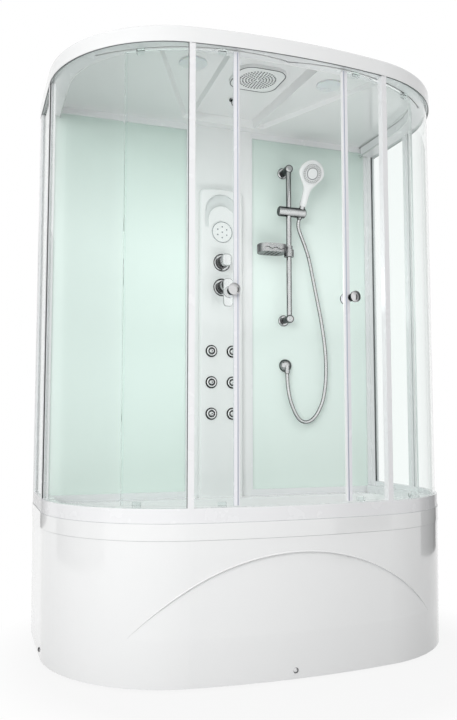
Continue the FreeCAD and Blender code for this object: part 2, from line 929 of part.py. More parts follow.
def top_rail():
    """Rail under the roof: a groove for the fixed glass and a slotted channel for the doors' rollers."""
    height = CEILING - S.top_rail_foot
    block_band = cabin_band(S.top_rail_inset, S.top_rail_inner, POST_FRONT)
    block = pad("top_block", [block_band], S.top_rail_foot, height)
    groove_band = cabin_band(GROOVE_OUTER, GROOVE_INNER, POST_FRONT)
    groove = pad("top_groove", [groove_band], S.top_rail_foot, S.top_glass_seat)
    lip = S.top_rail_foot + S.track_lip
    slots = track_groove("track_slot", S.track_slot, S.top_rail_foot, lip)
    chambers = track_groove("track_chamber", S.track_chamber, lip, lip + S.track_chamber_height)
    return cut("top_rail", block, groove, *slots, *chambers)


def under_fascia(name, post):
    """A pair of posts, relieved where the roof's fascia passes outside them."""
    band = cabin_band(0, S.sheet + S.glass_play, REAR_WALL)
    fascia = pad(name + "_relief", [band], S.fascia_foot - S.glass_play, S.fascia_height * 2)
    return pair(name, cut(name + "_left", post, fascia))


def rear_posts():
    """Corner profiles between the rear frames and the side panes."""
    side = S.width / 2 - S.rail_inset
    inner = side - S.rear_post_width
    slot = (S.width / 2 - GROOVE_OUTER, S.width / 2 - GROOVE_INNER)
    seat = POST_FRONT + S.glass_seat
    loop = [
        (-side, REAR_FACE),
        (-side, POST_FRONT),
        (-slot[0], POST_FRONT),
        (-slot[0], seat),
        (-slot[1], seat),
        (-slot[1], POST_FRONT),
        (-inner, POST_FRONT),
        (-inner, REAR_FACE),
    ]
    return under_fascia("rear_posts", pad("rear_post", [loop], S.rim_height, CEILING - S.rim_height))


def mid_posts():
    """Profiles that join each straight side pane to its bent corner pane."""
    half = S.mid_post_width / 2
    outer = S.width / 2 - S.rail_inset
    inner = S.width / 2 - S.rail_wall_inset
    slot = (S.width / 2 - GROOVE_OUTER, S.width / 2 - GROOVE_INNER)
    low = CORNER_Y - half
    high = CORNER_Y + half
    loop = [
        (-outer, high),
        (-outer, low),
        (-slot[0], low),
        (-slot[0], low + S.glass_seat),
        (-slot[1], low + S.glass_seat),
        (-slot[1], low),
        (-inner, low),
        (-inner, high),
        (-slot[1], high),
        (-slot[1], high - S.glass_seat),
        (-slot[0], high - S.glass_seat),
        (-slot[0], high),
    ]
    return under_fascia("mid_posts", pad("mid_post", [loop], SILL, S.top_rail_foot - SILL))


def door_jambs():
    """Profiles at the ends of the doorway, square to the front, with a slot for the corner pane."""

    def corner(along, inset):
        x, y = jamb_point(inset)
        return STAND * along - x, y - LEAN * along

    half = S.jamb_width / 2
    outer = S.rail_inset
    inner = S.rail_wall_inset
    seat = S.glass_seat - half
    loop = [
        corner(half, outer),
        corner(half, inner),
        corner(-half, inner),
        corner(-half, GROOVE_INNER),
        corner(seat, GROOVE_INNER),
        corner(seat, GROOVE_OUTER),
        corner(-half, GROOVE_OUTER),
        corner(-half, outer),
    ]
    return under_fascia("door_jambs", pad("door_jamb", [loop], SILL, S.top_rail_foot - SILL))


PANE_GAP = S.glass_play * 2


def side_glass():
    x = (S.glass_inset - S.width / 2, GLASS_INNER - S.width / 2)
    front = CORNER_Y + S.mid_post_width / 2 - S.glass_seat + PANE_GAP
    rear = POST_FRONT + S.glass_seat - PANE_GAP
    return pair("side_glass", box("side_pane_left", x, (front, rear), (LEDGE, TOP_SEAT - PANE_GAP)))


def corner_glass():
    """Bent panes from the mid posts to the door jambs."""
    radius = S.corner_radius - GLASS_INNER
    outline = strip(radius, radius + S.glass, LEDGE, TOP_SEAT - PANE_GAP)
    degrees = Size(math.degrees(1), "(180 / pi)")
    first = (S.mid_post_width / 2 - S.glass_seat + PANE_GAP) / radius * degrees
    last = (S.jamb_width / 2 - S.glass_seat + PANE_GAP) / radius * degrees
    turn = Size(math.degrees(math.acos(LEAN.value)), f"(acos({LEAN.formula}) / 1 deg)")
    sweep = turn - first - last
    return pair("corner_glass", sector("corner_pane_left", outline, first - 180, sweep, -CORNER_X, CORNER_Y))


FRAME_FRONT = REAR_FACE - S.frame_depth
FRAME_SIDE = S.width / 2 - S.rail_inset - S.rear_post_width
REAR_PANE_X = (S.column_half + S.frame_inner_stile, FRAME_SIDE - S.frame_outer_stile)
REAR_PANE_Z = (S.rim_height + S.frame_bar, CEILING - S.frame_bar)
PANE_HOLD = S.frame_inner_stile / 2


def rear_frame():
    """Frames of the two rear panels, with a groove for the pane all round."""
    y = (FRAME_FRONT, REAR_FACE)
    outer = box("rear_frame_outer", (-FRAME_SIDE, -S.column_half), y, (S.rim_height, CEILING))
    opening = box("rear_frame_opening", (-REAR_PANE_X[1], -REAR_PANE_X[0]), y, REAR_PANE_Z)
    hold_in = PANE_HOLD + S.glass_play
    groove_y = (REAR_GLASS_FRONT - S.glass_play, REAR_GLASS_FRONT + S.glass + S.glass_play)
    groove_x = (-REAR_PANE_X[1] - hold_in, hold_in - REAR_PANE_X[0])
    groove_z = (REAR_PANE_Z[0] - hold_in, REAR_PANE_Z[1] + hold_in)
    groove = box("rear_frame_groove", groove_x, groove_y, groove_z)
    return pair("rear_frame", cut("rear_frame_left", outer, opening, groove))


def rear_pane(name):
    x = (-REAR_PANE_X[1] - PANE_HOLD, PANE_HOLD - REAR_PANE_X[0])
    z = (REAR_PANE_Z[0] - PANE_HOLD - S.glass_play, REAR_PANE_Z[1] + PANE_HOLD)
    return box(name, x, (REAR_GLASS_FRONT, REAR_GLASS_FRONT + S.glass), z)


def rear_glass():
    """Frosted panes; the right one is drilled for the hose outlet."""
    hole_radius = S.outlet_tail_radius + S.hole_play
    at = (S.outlet_x, REAR_GLASS_FRONT - 1, S.outlet_height)
    hole = rod("outlet_hole", hole_radius, S.glass * 2, at, REAR)
    right = mirrored("rear_pane_right", rear_pane("rear_pane_source"))
    return group("rear_glass", rear_pane("rear_pane_left"), cut("rear_pane_drilled", right, hole))


# Sliding doors

KNOB_ANGLE = S.door_lead + S.knob_offset
HANGER_ANGLES = (S.door_lead + S.hanger_offset, DOOR_TAIL - S.hanger_offset)
AXLE_HEIGHT = S.top_rail_foot + S.track_lip + S.roller_play + S.roller_radius
TAIL_GLASS = DOOR_TAIL - S.tail_seal_sweep / 3
PANE_HALF = S.glass / 2
SLOT_HALF = PANE_HALF + S.glass_play


def track_point(angle, z):
    """The point of the left track at an angle from straight ahead."""
    x = -TRACK_X - S.track_radius * sine(angle)
    y = TRACK_Y - S.track_radius * cosine(angle)
    return x, y, z


def outwards(angle):
    """The turn that points an axis out of the left door at an angle."""
    return FreeCAD.Rotation(FreeCAD.Vector(0, 0, 1), -angle.value).multiply(FRONT)


def door_strip(depth, low, high):
    half = sized(depth) / 2
    return strip(S.track_radius - half, S.track_radius + half, low, high)


def door_glass():
    outline = door_strip(S.glass, S.door_foot, S.door_top)
    pane = door_sector("door_pane", outline, S.door_lead + S.edge_glass_step, TAIL_GLASS)
    at = track_point(KNOB_ANGLE, S.knob_height)
    hole = rod("knob_hole", S.knob_screw + S.hole_play, S.glass * 6, at, outwards(KNOB_ANGLE))
    back = rod("knob_hole_back", S.knob_screw + S.hole_play, S.glass * 6, at, outwards(KNOB_ANGLE + 180))
    return cut("door_glass_left", pane, hole, back)


def door_edge():
    """Profile on the leading edge of the pane."""
    lead = S.door_lead
    outline = door_strip(S.edge_depth, S.door_foot, S.door_top)
    bar = door_sector("edge_bar", outline, lead, lead + S.edge_sweep)
    slot_outline = door_strip(SLOT_HALF * 2, S.door_foot, S.door_top)
    slot = door_sector("edge_slot", slot_outline, lead + S.edge_glass_step - 0.02, lead + S.edge_sweep + 0.1)
    return cut("door_edge_left", bar, slot)


def door_seal():
    """Magnetic strip in front of the edge profile and the wiper on the trailing edge."""
    lead = S.door_lead
    strip_outline = door_strip(S.seal_depth, S.door_foot, S.door_top)
    magnet = door_sector("seal_magnet", strip_outline, lead - S.seal_sweep, lead)
    tail_outline = door_strip(S.tail_seal_depth, S.door_foot, S.door_top)
    tail = door_sector("seal_tail", tail_outline, DOOR_TAIL - S.tail_seal_sweep, DOOR_TAIL)
    slot_outline = door_strip(SLOT_HALF * 2, S.door_foot, S.door_top)
    slot = door_sector("seal_slot", slot_outline, DOOR_TAIL - S.tail_seal_sweep - 0.1, TAIL_GLASS + 0.02)
    return group("door_seal_left", magnet, cut("seal_wiper", tail, slot))


def door_knob():
    """Mushroom knobs on both faces of the pane, joined by a screw through it."""
    face = PANE_HALF + S.glass_play / 2
    seat = S.edge_depth / 2 + S.hole_play
    rosette_top = seat + S.knob_rosette_thick
    rim_top = S.knob_reach - S.knob_cap_dome
    rim_foot = rim_top - S.knob_cap_rim
    cone_foot = rim_foot - S.knob_cap_cone
    dome = S.knob_cap_dome
    ball = (S.knob_cap * S.knob_cap + dome * dome) / (dome * 2)
    half = [
        (S.knob_screw, face),
        (S.knob_spacer, face),
        (S.knob_spacer, seat),
        (S.knob_rosette, seat),
        (S.knob_rosette, rosette_top),
        (S.knob_neck, rosette_top),
        (S.knob_neck, cone_foot),
        (S.knob_cap, rim_foot),
    ]
    outside = half + [(S.knob_cap, rim_top, bend(0, S.knob_reach - ball, ball)), (0, S.knob_reach)]
    inside = [(0, -S.knob_reach, bend(0, ball - S.knob_reach, ball)), (S.knob_cap, -rim_top)]
    inside += [(radius, -along) for radius, along in reversed(half)]
    return turned(
        "door_knob_left", inside + outside, track_point(KNOB_ANGLE, S.knob_height), outwards(KNOB_ANGLE)
    )


def hanger(name, angle):
    """Clamp on the pane's top edge with a blade up through the slot to the roller axle."""
    r = S.track_radius
    half = S.hanger_depth / 2
    blade = S.blade_depth / 2
    low = S.door_top - S.hanger_grip
    crown = S.door_top + S.hanger_crown
    top = AXLE_HEIGHT + S.roller_radius - 2
    outline = [
        (r - half, low),
        (r - SLOT_HALF, low),
        (r - SLOT_HALF, S.door_top),
        (r + SLOT_HALF, S.door_top),
        (r + SLOT_HALF, low),
        (r + half, low),
        (r + half, crown),
        (r + blade, crown),
        (r + blade, top),
        (r - blade, top),
        (r - blade, crown),
        (r - half, crown),
    ]
    clamp = door_sector(name + "_clamp", outline, angle - S.hanger_sweep / 2, angle + S.hanger_sweep / 2)
    at = track_point(angle, AXLE_HEIGHT)
    reach = S.blade_depth * 2
    bore = rod(name + "_bore", S.axle_radius + S.roller_play, reach, at, outwards(angle))
    bore_back = rod(name + "_bore_back", S.axle_radius + S.roller_play, reach, at, outwards(angle + 180))
    return cut(name, clamp, bore, bore_back)


def shoe(name, angle):
    """Guide shoe on the pane's lower edge with a tongue in the rail's groove."""
    r = S.track_radius
    half = S.shoe_depth / 2
    tongue = S.tongue_depth / 2
    foot = S.door_foot - S.glass_play * 10
    low = LEDGE - S.groove_depth + S.groove_depth / 3
    high = S.door_foot + S.shoe_grip
    outline = [
        (r - tongue, low),
        (r + tongue, low),
        (r + tongue, foot),
        (r + half, foot),
        (r + half, high),
        (r + SLOT_HALF, high),
        (r + SLOT_HALF, S.door_foot),
        (r - SLOT_HALF, S.door_foot),
        (r - SLOT_HALF, high),
        (r - half, high),
        (r - half, foot),
        (r - tongue, foot),
    ]
    return door_sector(name, outline, angle - S.hanger_sweep / 2, angle + S.hanger_sweep / 2)


def door_hangers():
    pieces = []
    for place_name, angle in zip(("lead", "tail"), HANGER_ANGLES):
        pieces.append(hanger(f"hanger_{place_name}", angle))
        pieces.append(shoe(f"shoe_{place_name}", angle))
    return group("door_hangers_left", *pieces)


def roller(name, angle):
    """Two wheels on one axle, either side of the hanger's blade."""
    wheel = S.roller_radius
    edge = wheel / 9
    outer = S.roller_half_span
    inner = S.roller_inner_half
    outline = [
        (0, -outer),
        (wheel - edge, -outer),
        (wheel, edge - outer),
        (wheel, -inner - edge),
        (wheel - edge, -inner),
        (S.axle_radius, -inner),
        (S.axle_radius, inner),
        (wheel - edge, inner),
        (wheel, inner + edge),
        (wheel, outer - edge),
        (wheel - edge, outer),
        (0, outer),
    ]
    return turned(name, outline, track_point(angle, AXLE_HEIGHT), outwards(angle))


# Control column

MIXER_HEIGHT = S.diverter_height - S.mixer_step
KEYPAD_HEIGHT = S.diverter_height + S.keypad_step
CAVITY_TOP = KEYPAD_HEIGHT + S.cavity_step
NICHE_FOOT = CAVITY_TOP - S.niche_lap
NICHE_CENTRE = NICHE_FOOT + S.niche_rise
CONSOLE_CROWN = NICHE_CENTRE + S.crown_step
VALVE_REAR = REAR_FACE - S.valve_gap
INLET_END = REAR_FACE + S.inlet_stand
MANIFOLD_Y = REAR_FACE - S.manifold_gap
RISER_HOSE_Y = REAR_FACE - S.riser_hose_gap
JET_PLACES = [(x, S.jet_top - S.jet_pitch * row) for row in range(3) for x in (-S.jet_x, S.jet_x)]
CONSOLE_INNER = CONSOLE_FRONT + S.column_wall


def console():
    """Raised front of the column, with a shallow arched top."""
    half = S.console_half
    crown = S.console_crown_radius
    turn = S.console_shoulder
    centre = CONSOLE_CROWN - crown
    across = half - turn
    inner = crown - turn
    rise = root(inner * inner - across * across)
    shoulder = centre + rise
    meet_x = across * crown / inner
    meet_z = centre + rise * crown / inner
    loop = [
        (-half, S.rim_height),
        (half, S.rim_height),
        (half, shoulder, bend(across, shoulder, turn)),
        (meet_x, meet_z, bend(0, centre, crown)),
        (-meet_x, meet_z, bend(-across, shoulder, turn)),
        (-half, shoulder),
    ]
    body = pad_back("console", [loop], CONSOLE_FRONT, FRAME_FRONT)
    front = CONSOLE_FRONT.value
    low = S.rim_height.value
    return rounded(
        body,
        S.console_bend,
        lambda edge: edge.BoundBox.YMax < front + 0.01 and edge.BoundBox.ZMax > low + 0.01,
    )


def niche():
    """Crescent between two arches above the keypad, deepest at its crown and fading out downwards."""
    front = CONSOLE_FRONT - S.column_wall
    foot = NICHE_FOOT - S.column_wall

    def arch(name, radius, rise):
        centre = NICHE_FOOT + rise
        loop = [
            (-radius, foot),
            (radius, foot),
            (radius, centre, bend(0, centre, radius)),
            (0, centre + radius, bend(0, centre, radius)),
            (-radius, centre),
        ]
        return pad_back(name, [loop], front, CONSOLE_FRONT + S.niche_depth * 2)

    def slot(depth):
        half = S.niche_radius + S.column_wall
        rear = CONSOLE_FRONT + depth
        return [(-half, front), (half, front), (half, rear), (-half, rear)]

    ramp = lofted("niche_ramp", [(slot(0), NICHE_FOOT), (slot(S.niche_depth), NICHE_CENTRE + S.niche_radius)])
    hollow = common("niche_hollow", ramp, arch("niche_arch", S.niche_radius, S.niche_rise))
    return cut("niche", hollow, arch("niche_tongue", S.tongue_radius, S.tongue_rise))


def control_column():
    plate_x = (-S.column_half, S.column_half)
    plate = box("column_plate", plate_x, (FRAME_FRONT, REAR_FACE), (S.rim_height, CEILING))
    inside = S.console_half - S.column_wall
    floor = S.rim_height + S.column_wall
    cavity = box("column_cavity", (-inside, inside), (CONSOLE_INNER, REAR_FACE), (floor, CAVITY_TOP))
    groove_x = (-S.pipe_groove / 2, S.pipe_groove / 2)
    groove_y = (RISER_HOSE_Y - S.riser_hose_radius - S.hole_play, REAR_FACE)
    groove = box("column_groove", groove_x, groove_y, (CAVITY_TOP, CEILING))
    holes = []
    depth = S.column_wall * 4
    for number, (x, z) in enumerate(JET_PLACES):
        at = (x, CONSOLE_FRONT - S.column_wall, z)
        holes.append(rod(f"jet_hole_{number}", S.jet_socket + S.hole_play, depth, at, REAR))
    for number, z in enumerate((S.diverter_height, MIXER_HEIGHT)):
        at = (0, CONSOLE_FRONT - S.column_wall, z)
        holes.append(rod(f"valve_hole_{number}", S.valve_radius + S.valve_play, depth, at, REAR))
    return cut("control_column", fuse("column_blank", plate, console()), niche(), cavity, groove, *holes)


def keypad_panel():
    """Round touch panel on the console."""
    edge = S.keypad_rise / 3
    radius = S.keypad_radius
    rise = S.keypad_rise
    outline = [(0, 0), (radius, 0), (radius, rise - edge), (radius - edge, rise), (0, rise)]
    return turned("keypad_panel", outline, (0, CONSOLE_FRONT, KEYPAD_HEIGHT), FRONT)


def valve(name, height):
    """Valve tail behind the console, escutcheon and barrel, with a bore for a spindle."""
    tail = CONSOLE_FRONT - VALVE_REAR
    rise = S.escutcheon_rise
    rim = S.escutcheon_radius
    bore = S.knob_spindle + S.knob_gap
    depth = S.barrel_reach - S.knob_spindle_length - S.knob_gap
    outline = [
        (0, tail),
        (S.valve_radius, tail),
        (S.valve_radius, 0),
        (rim, 0),
        (rim, rise / 3),
        (rim - rise, rise),
        (S.barrel_radius, rise),
        (S.barrel_radius, S.barrel_reach),
        (bore, S.barrel_reach),
        (bore, depth),
        (0, depth),
    ]
    return turned(name, outline, (0, CONSOLE_FRONT, height), FRONT)


def valve_bodies():
    """Diverter and mixer valves; the mixer has its hot and cold inlets at the back."""
    body = valve("mixer_valve", MIXER_HEIGHT)
    cross_at = (-S.inlet_x, MANIFOLD_Y, MIXER_HEIGHT)
    cross = rod("mixer_cross", S.manifold_radius, S.inlet_x * 2, cross_at, RIGHT)
    length = INLET_END - MANIFOLD_Y
    pieces = [body, cross]
    bores = []
    for number, x in enumerate((-S.inlet_x, S.inlet_x)):
        at = (x, MANIFOLD_Y, MIXER_HEIGHT)
        pieces.append(rod(f"inlet_{number}", S.inlet_radius, length, at, REAR))
        collar_at = (x, MANIFOLD_Y - S.manifold_radius, MIXER_HEIGHT)
        collar_length = S.manifold_radius + S.inlet_collar_reach
        pieces.append(rod(f"inlet_collar_{number}", S.inlet_collar, collar_length, collar_at, REAR))
        bores.append(rod(f"inlet_bore_{number}", S.inlet_bore, length, at, REAR))
    mixer = cut("mixer_body", fuse("mixer_blank", *pieces), *bores)
    return group("valve_bodies", valve("diverter_body", S.diverter_height), mixer)


KNOB_BACK = CONSOLE_FRONT - S.barrel_reach - S.knob_gap


def spindle(name, height):
    return rod(name, S.knob_spindle, S.knob_spindle_length, (0, KNOB_BACK, height), REAR)


def diverter_knob():
    loop = rounded_rectangle(
        0, S.diverter_height, S.diverter_knob_width / 2, S.diverter_knob_height / 2, S.diverter_knob_bend
    )
    front = KNOB_BACK - S.diverter_knob_rise
    body = pad_back("diverter_cap", [loop], front, KNOB_BACK)
    limit = front.value + 0.01
    rounded(body, S.diverter_knob_rise / 4, lambda edge: edge.BoundBox.YMax < limit)
    return fuse("diverter_knob", body, spindle("diverter_spindle", S.diverter_height))


CAP_FRONT = KNOB_BACK - S.mixer_cap_rise


def mixer_cap():
    """Turning cap of the mixer, hollowed for the lever's ball."""
    socket = S.mixer_ball + S.knob_gap
    rise = S.mixer_cap_rise
    radius = S.barrel_radius - S.knob_gap
    length = S.knob_spindle_length
    outline = [
        (0, -length),
        (S.knob_spindle, -length),
        (S.knob_spindle, 0),
        (radius, 0),
        (radius, rise),
        (socket, rise),
        (socket, rise - socket),
        (0, rise - socket),
    ]
    return turned("mixer_cap", outline, (0, KNOB_BACK, MIXER_HEIGHT), FRONT)


def mixer_lever():
    """Hanging lever plate with its ball in the cap."""
    back = CAP_FRONT - S.lever_gap
    middle = MIXER_HEIGHT + (S.lever_above - S.lever_below) / 2
    half_height = (S.lever_above + S.lever_below) / 2
    loop = rounded_rectangle(0, middle, S.lever_width / 2, half_height, S.lever_bend)
    plate = pad_back("lever_plate", [loop], back - S.lever_thick, back)
    limit = (back - S.lever_thick).value + 0.01
    rounded(plate, S.lever_thick / 3, lambda edge: edge.BoundBox.YMax < limit)
    stalk = rod("lever_stalk", S.mixer_stalk, S.lever_gap, (0, back, MIXER_HEIGHT), REAR)
    ball = doc.addObject("Part::Sphere", "lever_ball")
    bind(ball, {"Radius": S.mixer_ball})
    place(ball, (0, CAP_FRONT, MIXER_HEIGHT))
    return fuse("mixer_lever", plate, stalk, ball)


def jet_bezels():
    ball = S.jet_ball
    socket = ball + S.jet_play
    lip = ball * 0.54
    mouth = root(ball * ball - lip * lip) + S.jet_play * 2
    rim = S.jet_rim
    outline = [
        (socket, -S.jet_depth),
        (S.jet_socket, -S.jet_depth),
        (S.jet_socket, 0),
        (rim, 0),
        (rim, lip / 3),
        (rim - lip / 3, lip * 0.8),
        (S.jet_socket, lip * 1.25),
        (mouth, lip),
        (socket, lip / 6),
    ]
    pieces = [turned(f"jet_bezel_{number}", outline, (x, CONSOLE_FRONT, z), FRONT)
              for number, (x, z) in enumerate(JET_PLACES)]
    return group("jet_bezels", *pieces)


def jet_nozzle(name, x, z):
    """Ball with a short bored snout."""
    ball = S.jet_ball
    snout = S.jet_snout
    outline = [
        (0, -ball, bend(0, 0, ball)),
        (snout, root(ball * ball - snout * snout)),
        (snout, S.jet_snout_reach),
        (snout / 2, S.jet_snout_reach),
        (snout / 2, snout),
        (0, snout),
    ]
    return turned(name, outline, (x, CONSOLE_FRONT, z), FRONT)


RAIN_Y = FRONT_EDGE + S.rain_gap
STEM_TOP = CEILING + S.strip_rise + S.sheet + S.rain_stem_rise
ROOF_HOSE = STEM_TOP - S.riser_hose_rise


def overhead_hose():
    """Hose from the diverter up the column and over the roof to the rain head."""
    y = RISER_HOSE_Y.value
    turn = S.riser_hose_bend.value
    low = (S.diverter_height + S.valve_radius + S.hole_play).value
    high = ROOF_HOSE.value
    front = (RAIN_Y + S.rain_stem_radius + S.hole_play).value
    corner = FreeCAD.Vector(0, y - turn * (1 - math.sqrt(0.5)), high - turn * (1 - math.sqrt(0.5)))
    points = [(0, y, low), (0, y, high - turn), (0, y - turn, high), (0, front, high)]
    start, rise, over, end = (FreeCAD.Vector(*point) for point in points)
    path = Part.Wire([
        Part.LineSegment(start, rise).toShape(),
        Part.Arc(rise, corner, over).toShape(),
        Part.LineSegment(over, end).toShape(),
    ])
    circle = Part.makeCircle(S.riser_hose_radius.value, start, FreeCAD.Vector(0, 0, 1))
    piece = doc.addObject("Part::Feature", "overhead_hose")
    piece.Shape = path.makePipeShell([Part.Wire(circle)], True, False)
    return piece


def jet_manifold():
    """Pipe down from the mixer with a branch and two capped ends for each row of jets."""
    y = MANIFOLD_Y
    radius = S.branch_radius
    foot = S.jet_top - S.jet_pitch * 2
    top = MIXER_HEIGHT - S.valve_radius - S.hole_play
    pieces = [rod("manifold_pipe", radius, top - foot, (0, y, foot))]
    for row in range(3):
        z = S.jet_top - S.jet_pitch * row
        pieces.append(rod(f"manifold_branch_{row}", radius, S.jet_x * 2, (-S.jet_x, y, z), RIGHT))
    socket_end = CONSOLE_FRONT + S.jet_depth
    for number, (x, z) in enumerate(JET_PLACES):
        at = (x, socket_end, z)
        pieces.append(rod(f"manifold_cap_{number}", S.branch_cap, S.branch_cap_depth, at, REAR))
        pieces.append(rod(f"manifold_stub_{number}", radius, y - socket_end, at, REAR))
    return fuse("jet_manifold", *pieces)


def supply_pipes():
    return group("supply_pipes", jet_manifold(), overhead_hose())


def control_box():
    half = S.control_box_half
    y = (CONSOLE_INNER, CONSOLE_INNER + S.control_box_depth)
    z = (S.control_box_foot, S.control_box_foot + S.control_box_height)
    return box("control_box", (-half, half), y, z)


# Shower set on the right rear panel

RISER_Y = REAR_FACE - S.riser_stand
SPOUT_END_Y = REAR_GLASS_FRONT - S.outlet_spout_stand
SPOUT_END_Z = S.outlet_height - S.outlet_spout_drop


def riser_tube():
    z = (S.riser_foot - S.riser_end, S.riser_top + S.riser_end)
    return rod("riser_tube", S.riser_radius, z[1] - z[0], (S.riser_x, RISER_Y, z[0]))


def bracket(name, height, side):
    """Wall rosette, arm and rounded head; the bore in the head is open towards the tube."""
    reach = REAR_GLASS_FRONT - RISER_Y
    half = S.bracket_head_length / 2
    rosette = S.bracket_rosette
    head = S.bracket_head
    outline = [
        (0, 0),
        (rosette, 0),
        (rosette, rosette / 6),
        (rosette - rosette / 6, rosette / 3),
        (S.bracket_arm, rosette / 3),
        (S.bracket_arm, reach - half),
        (head, reach - half),
        (head, reach + half - head / 2, bend(head / 2, reach + half - head / 2, head / 2)),
        (head / 2, reach + half),
        (0, reach + half),
    ]
    body = turned(name + "_body", outline, (S.riser_x, REAR_GLASS_FRONT, height), FRONT)
    bore_radius = S.riser_radius + S.glass_play / 4
    low = height - S.riser_end if side > 0 else height - head * 2
    length = head * 2 + S.riser_end
    return cut(name, body, rod(name + "_bore", bore_radius, length, (S.riser_x, RISER_Y, low)))


def riser_brackets():
    foot = bracket("foot_bracket", S.riser_foot, 1)
    top = bracket("top_bracket", S.riser_top, -1)
    return group("riser_brackets", foot, top)


CRADLE_LEFT = S.riser_x + S.slider_right + S.cradle_gap
CRADLE_X = CRADLE_LEFT + S.cradle_length / 2


def slider_barrel():
    """Horizontal barrel that slides on the tube, with the pivot of the cradle at its end."""
    radius = S.slider_radius
    edge = radius / 5
    length = S.slider_left + S.slider_right
    outline = [
        (0, 0),
        (radius - edge, 0),
        (radius, edge),
        (radius, length),
        (S.pivot_radius, length),
        (S.pivot_radius, length + S.pivot_length),
        (0, length + S.pivot_length),
    ]
    body = turned("barrel_body", outline, (S.riser_x - S.slider_left, RISER_Y, S.slider_height), RIGHT)
    bore_at = (S.riser_x, RISER_Y, S.slider_height - radius)
    return cut("slider_barrel", body, rod("barrel_bore", S.riser_radius + S.slide_play, radius * 2, bore_at))


HANDSET_TURN = FreeCAD.Rotation(FreeCAD.Vector(0, 1, 0), S.cradle_cant.value).multiply(
    FreeCAD.Rotation(FreeCAD.Vector(1, 0, 0), S.cradle_lean.value)
)
HANDSET_AXIS = (
    cosine(S.cradle_lean) * sine(S.cradle_cant),
    -sine(S.cradle_lean),
    cosine(S.cradle_lean) * cosine(S.cradle_cant),
)
HANDSET_FACE = (
    -sine(S.cradle_lean) * sine(S.cradle_cant),
    -cosine(S.cradle_lean),
    -sine(S.cradle_lean) * cosine(S.cradle_cant),
)


def handset_point(along, forward=0):
    """A point by its distance up the handle from the cradle and forward out of the spray face."""
    middle = (CRADLE_X, RISER_Y, S.slider_height)
    return [
        centre + axis * along + face * forward
        for centre, axis, face in zip(middle, HANDSET_AXIS, HANDSET_FACE)
    ]


def shower_cradle():
    """Cradle on the barrel's pivot, with the hose's cone nut in its hole."""
    radius = S.slider_radius
    edge = radius / 5
    socket = S.pivot_radius + S.cradle_gap
    depth = S.pivot_length + S.cradle_gap
    outline = [
        (socket, 0),
        (radius, 0),
        (radius, S.cradle_length - edge),
        (radius - edge, S.cradle_length),
        (0, S.cradle_length),
        (0, depth),
        (socket, depth),
    ]
    body = turned("cradle_body", outline, (CRADLE_LEFT, RISER_Y, S.slider_height), RIGHT)
    hole_radius = S.cone_radius + S.cone_play
    hole = rod("cradle_hole", hole_radius, radius * 4, handset_point(-radius * 2), HANDSET_TURN)
    below = -S.cone_below
    cone = [
        (0, below),
        (S.cone_end_radius, below),
        (S.cone_radius, -radius),
        (S.cone_radius, S.cone_above),
        (0, S.cone_above),
    ]
    nut = turned("hose_cone", cone, handset_point(0), HANDSET_TURN)
    return group("shower_cradle", cut("cradle_block", body, hole), nut)


def handset_body():
    """Tapered handle and round head, hollowed in front for the spray face."""
    length = S.head_distance - S.head_radius * 0.88 - S.cone_above
    handle = doc.addObject("Part::Cone", "handle")
    bind(handle, {"Radius1": S.handle_radius, "Radius2": S.handle_top_radius, "Height": length})
    place(handle, handset_point(S.cone_above), HANDSET_TURN)
    half = S.head_depth / 2
    radius = S.head_radius
    shoulder = S.head_depth / 3
    hollow = S.face_radius + S.face_play
    floor = half - S.face_depth
    outline = [
        (0, -half),
        (radius - shoulder * 2, -half),
        (radius, shoulder - half),
        (radius, half - shoulder / 2),
        (radius - shoulder / 2, half),
        (hollow, half),
        (hollow, floor),
        (0, floor),
    ]
    head = turned("handset_head", outline, handset_point(S.head_distance), HANDSET_TURN.multiply(FRONT))
    return fuse("handset_body", handle, head)


def handset_face():
    """Spray face that turns in the head to choose the spray."""
    half = S.head_depth / 2
    floor = half - S.face_depth + S.face_play
    rise = S.face_depth * 1.2
    edge = S.face_depth / 4
    radius = S.face_radius
    outline = [(0, 0), (radius, 0), (radius, rise - edge), (radius - edge, rise), (0, rise)]
    at = handset_point(S.head_distance, floor)
    return turned("handset_face", outline, at, HANDSET_TURN.multiply(FRONT))


def hose_outlet():
    """Half ball on the panel with a spout down to the hose and a threaded tail through the pane."""
    radius = S.outlet_radius
    tail = S.outlet_tail_radius
    behind = REAR_FACE - REAR_GLASS_FRONT
    outline = [
        (0, -behind),
        (tail, -behind),
        (tail, 0),
        (radius, 0, bend(0, 0, radius)),
        (0, radius),
    ]
    ball = turned("outlet_ball", outline, (S.outlet_x, REAR_GLASS_FRONT, S.outlet_height), FRONT)
    radius = S.hose_radius + S.outlet_spout_wall
    spout = rod("outlet_spout", radius, S.outlet_spout_drop, (S.outlet_x, SPOUT_END_Y, SPOUT_END_Z))
    return fuse("hose_outlet", ball, spout)


# Route of the hose from the cone nut to the outlet, as it hangs
HOSE_MIDDLE = [
    (351, 341, 1640),
    (366, 341.5, 1604),
    (382, 342, 1566),
    (400, 343.5, 1518),
    (419, 346, 1434),
    (439, 349, 1345),
    (457, 351, 1265),
    (471, 353, 1189),
    (480, 354, 1122),
    (484, 355, 1064),
    (484, 355, 1005),
    (480, 356, 952),
    (470, 356, 898),
    (455, 357, 862),
    (436, 357, 830),
    (412, 358, 807),
    (385, 358, 799),
    (360, 359, 808),
    (341, 359, 831),
    (327, 360, 862),
    (316, 361, 892),
    (308, 361, 927),
    (302, 362, 974),
]


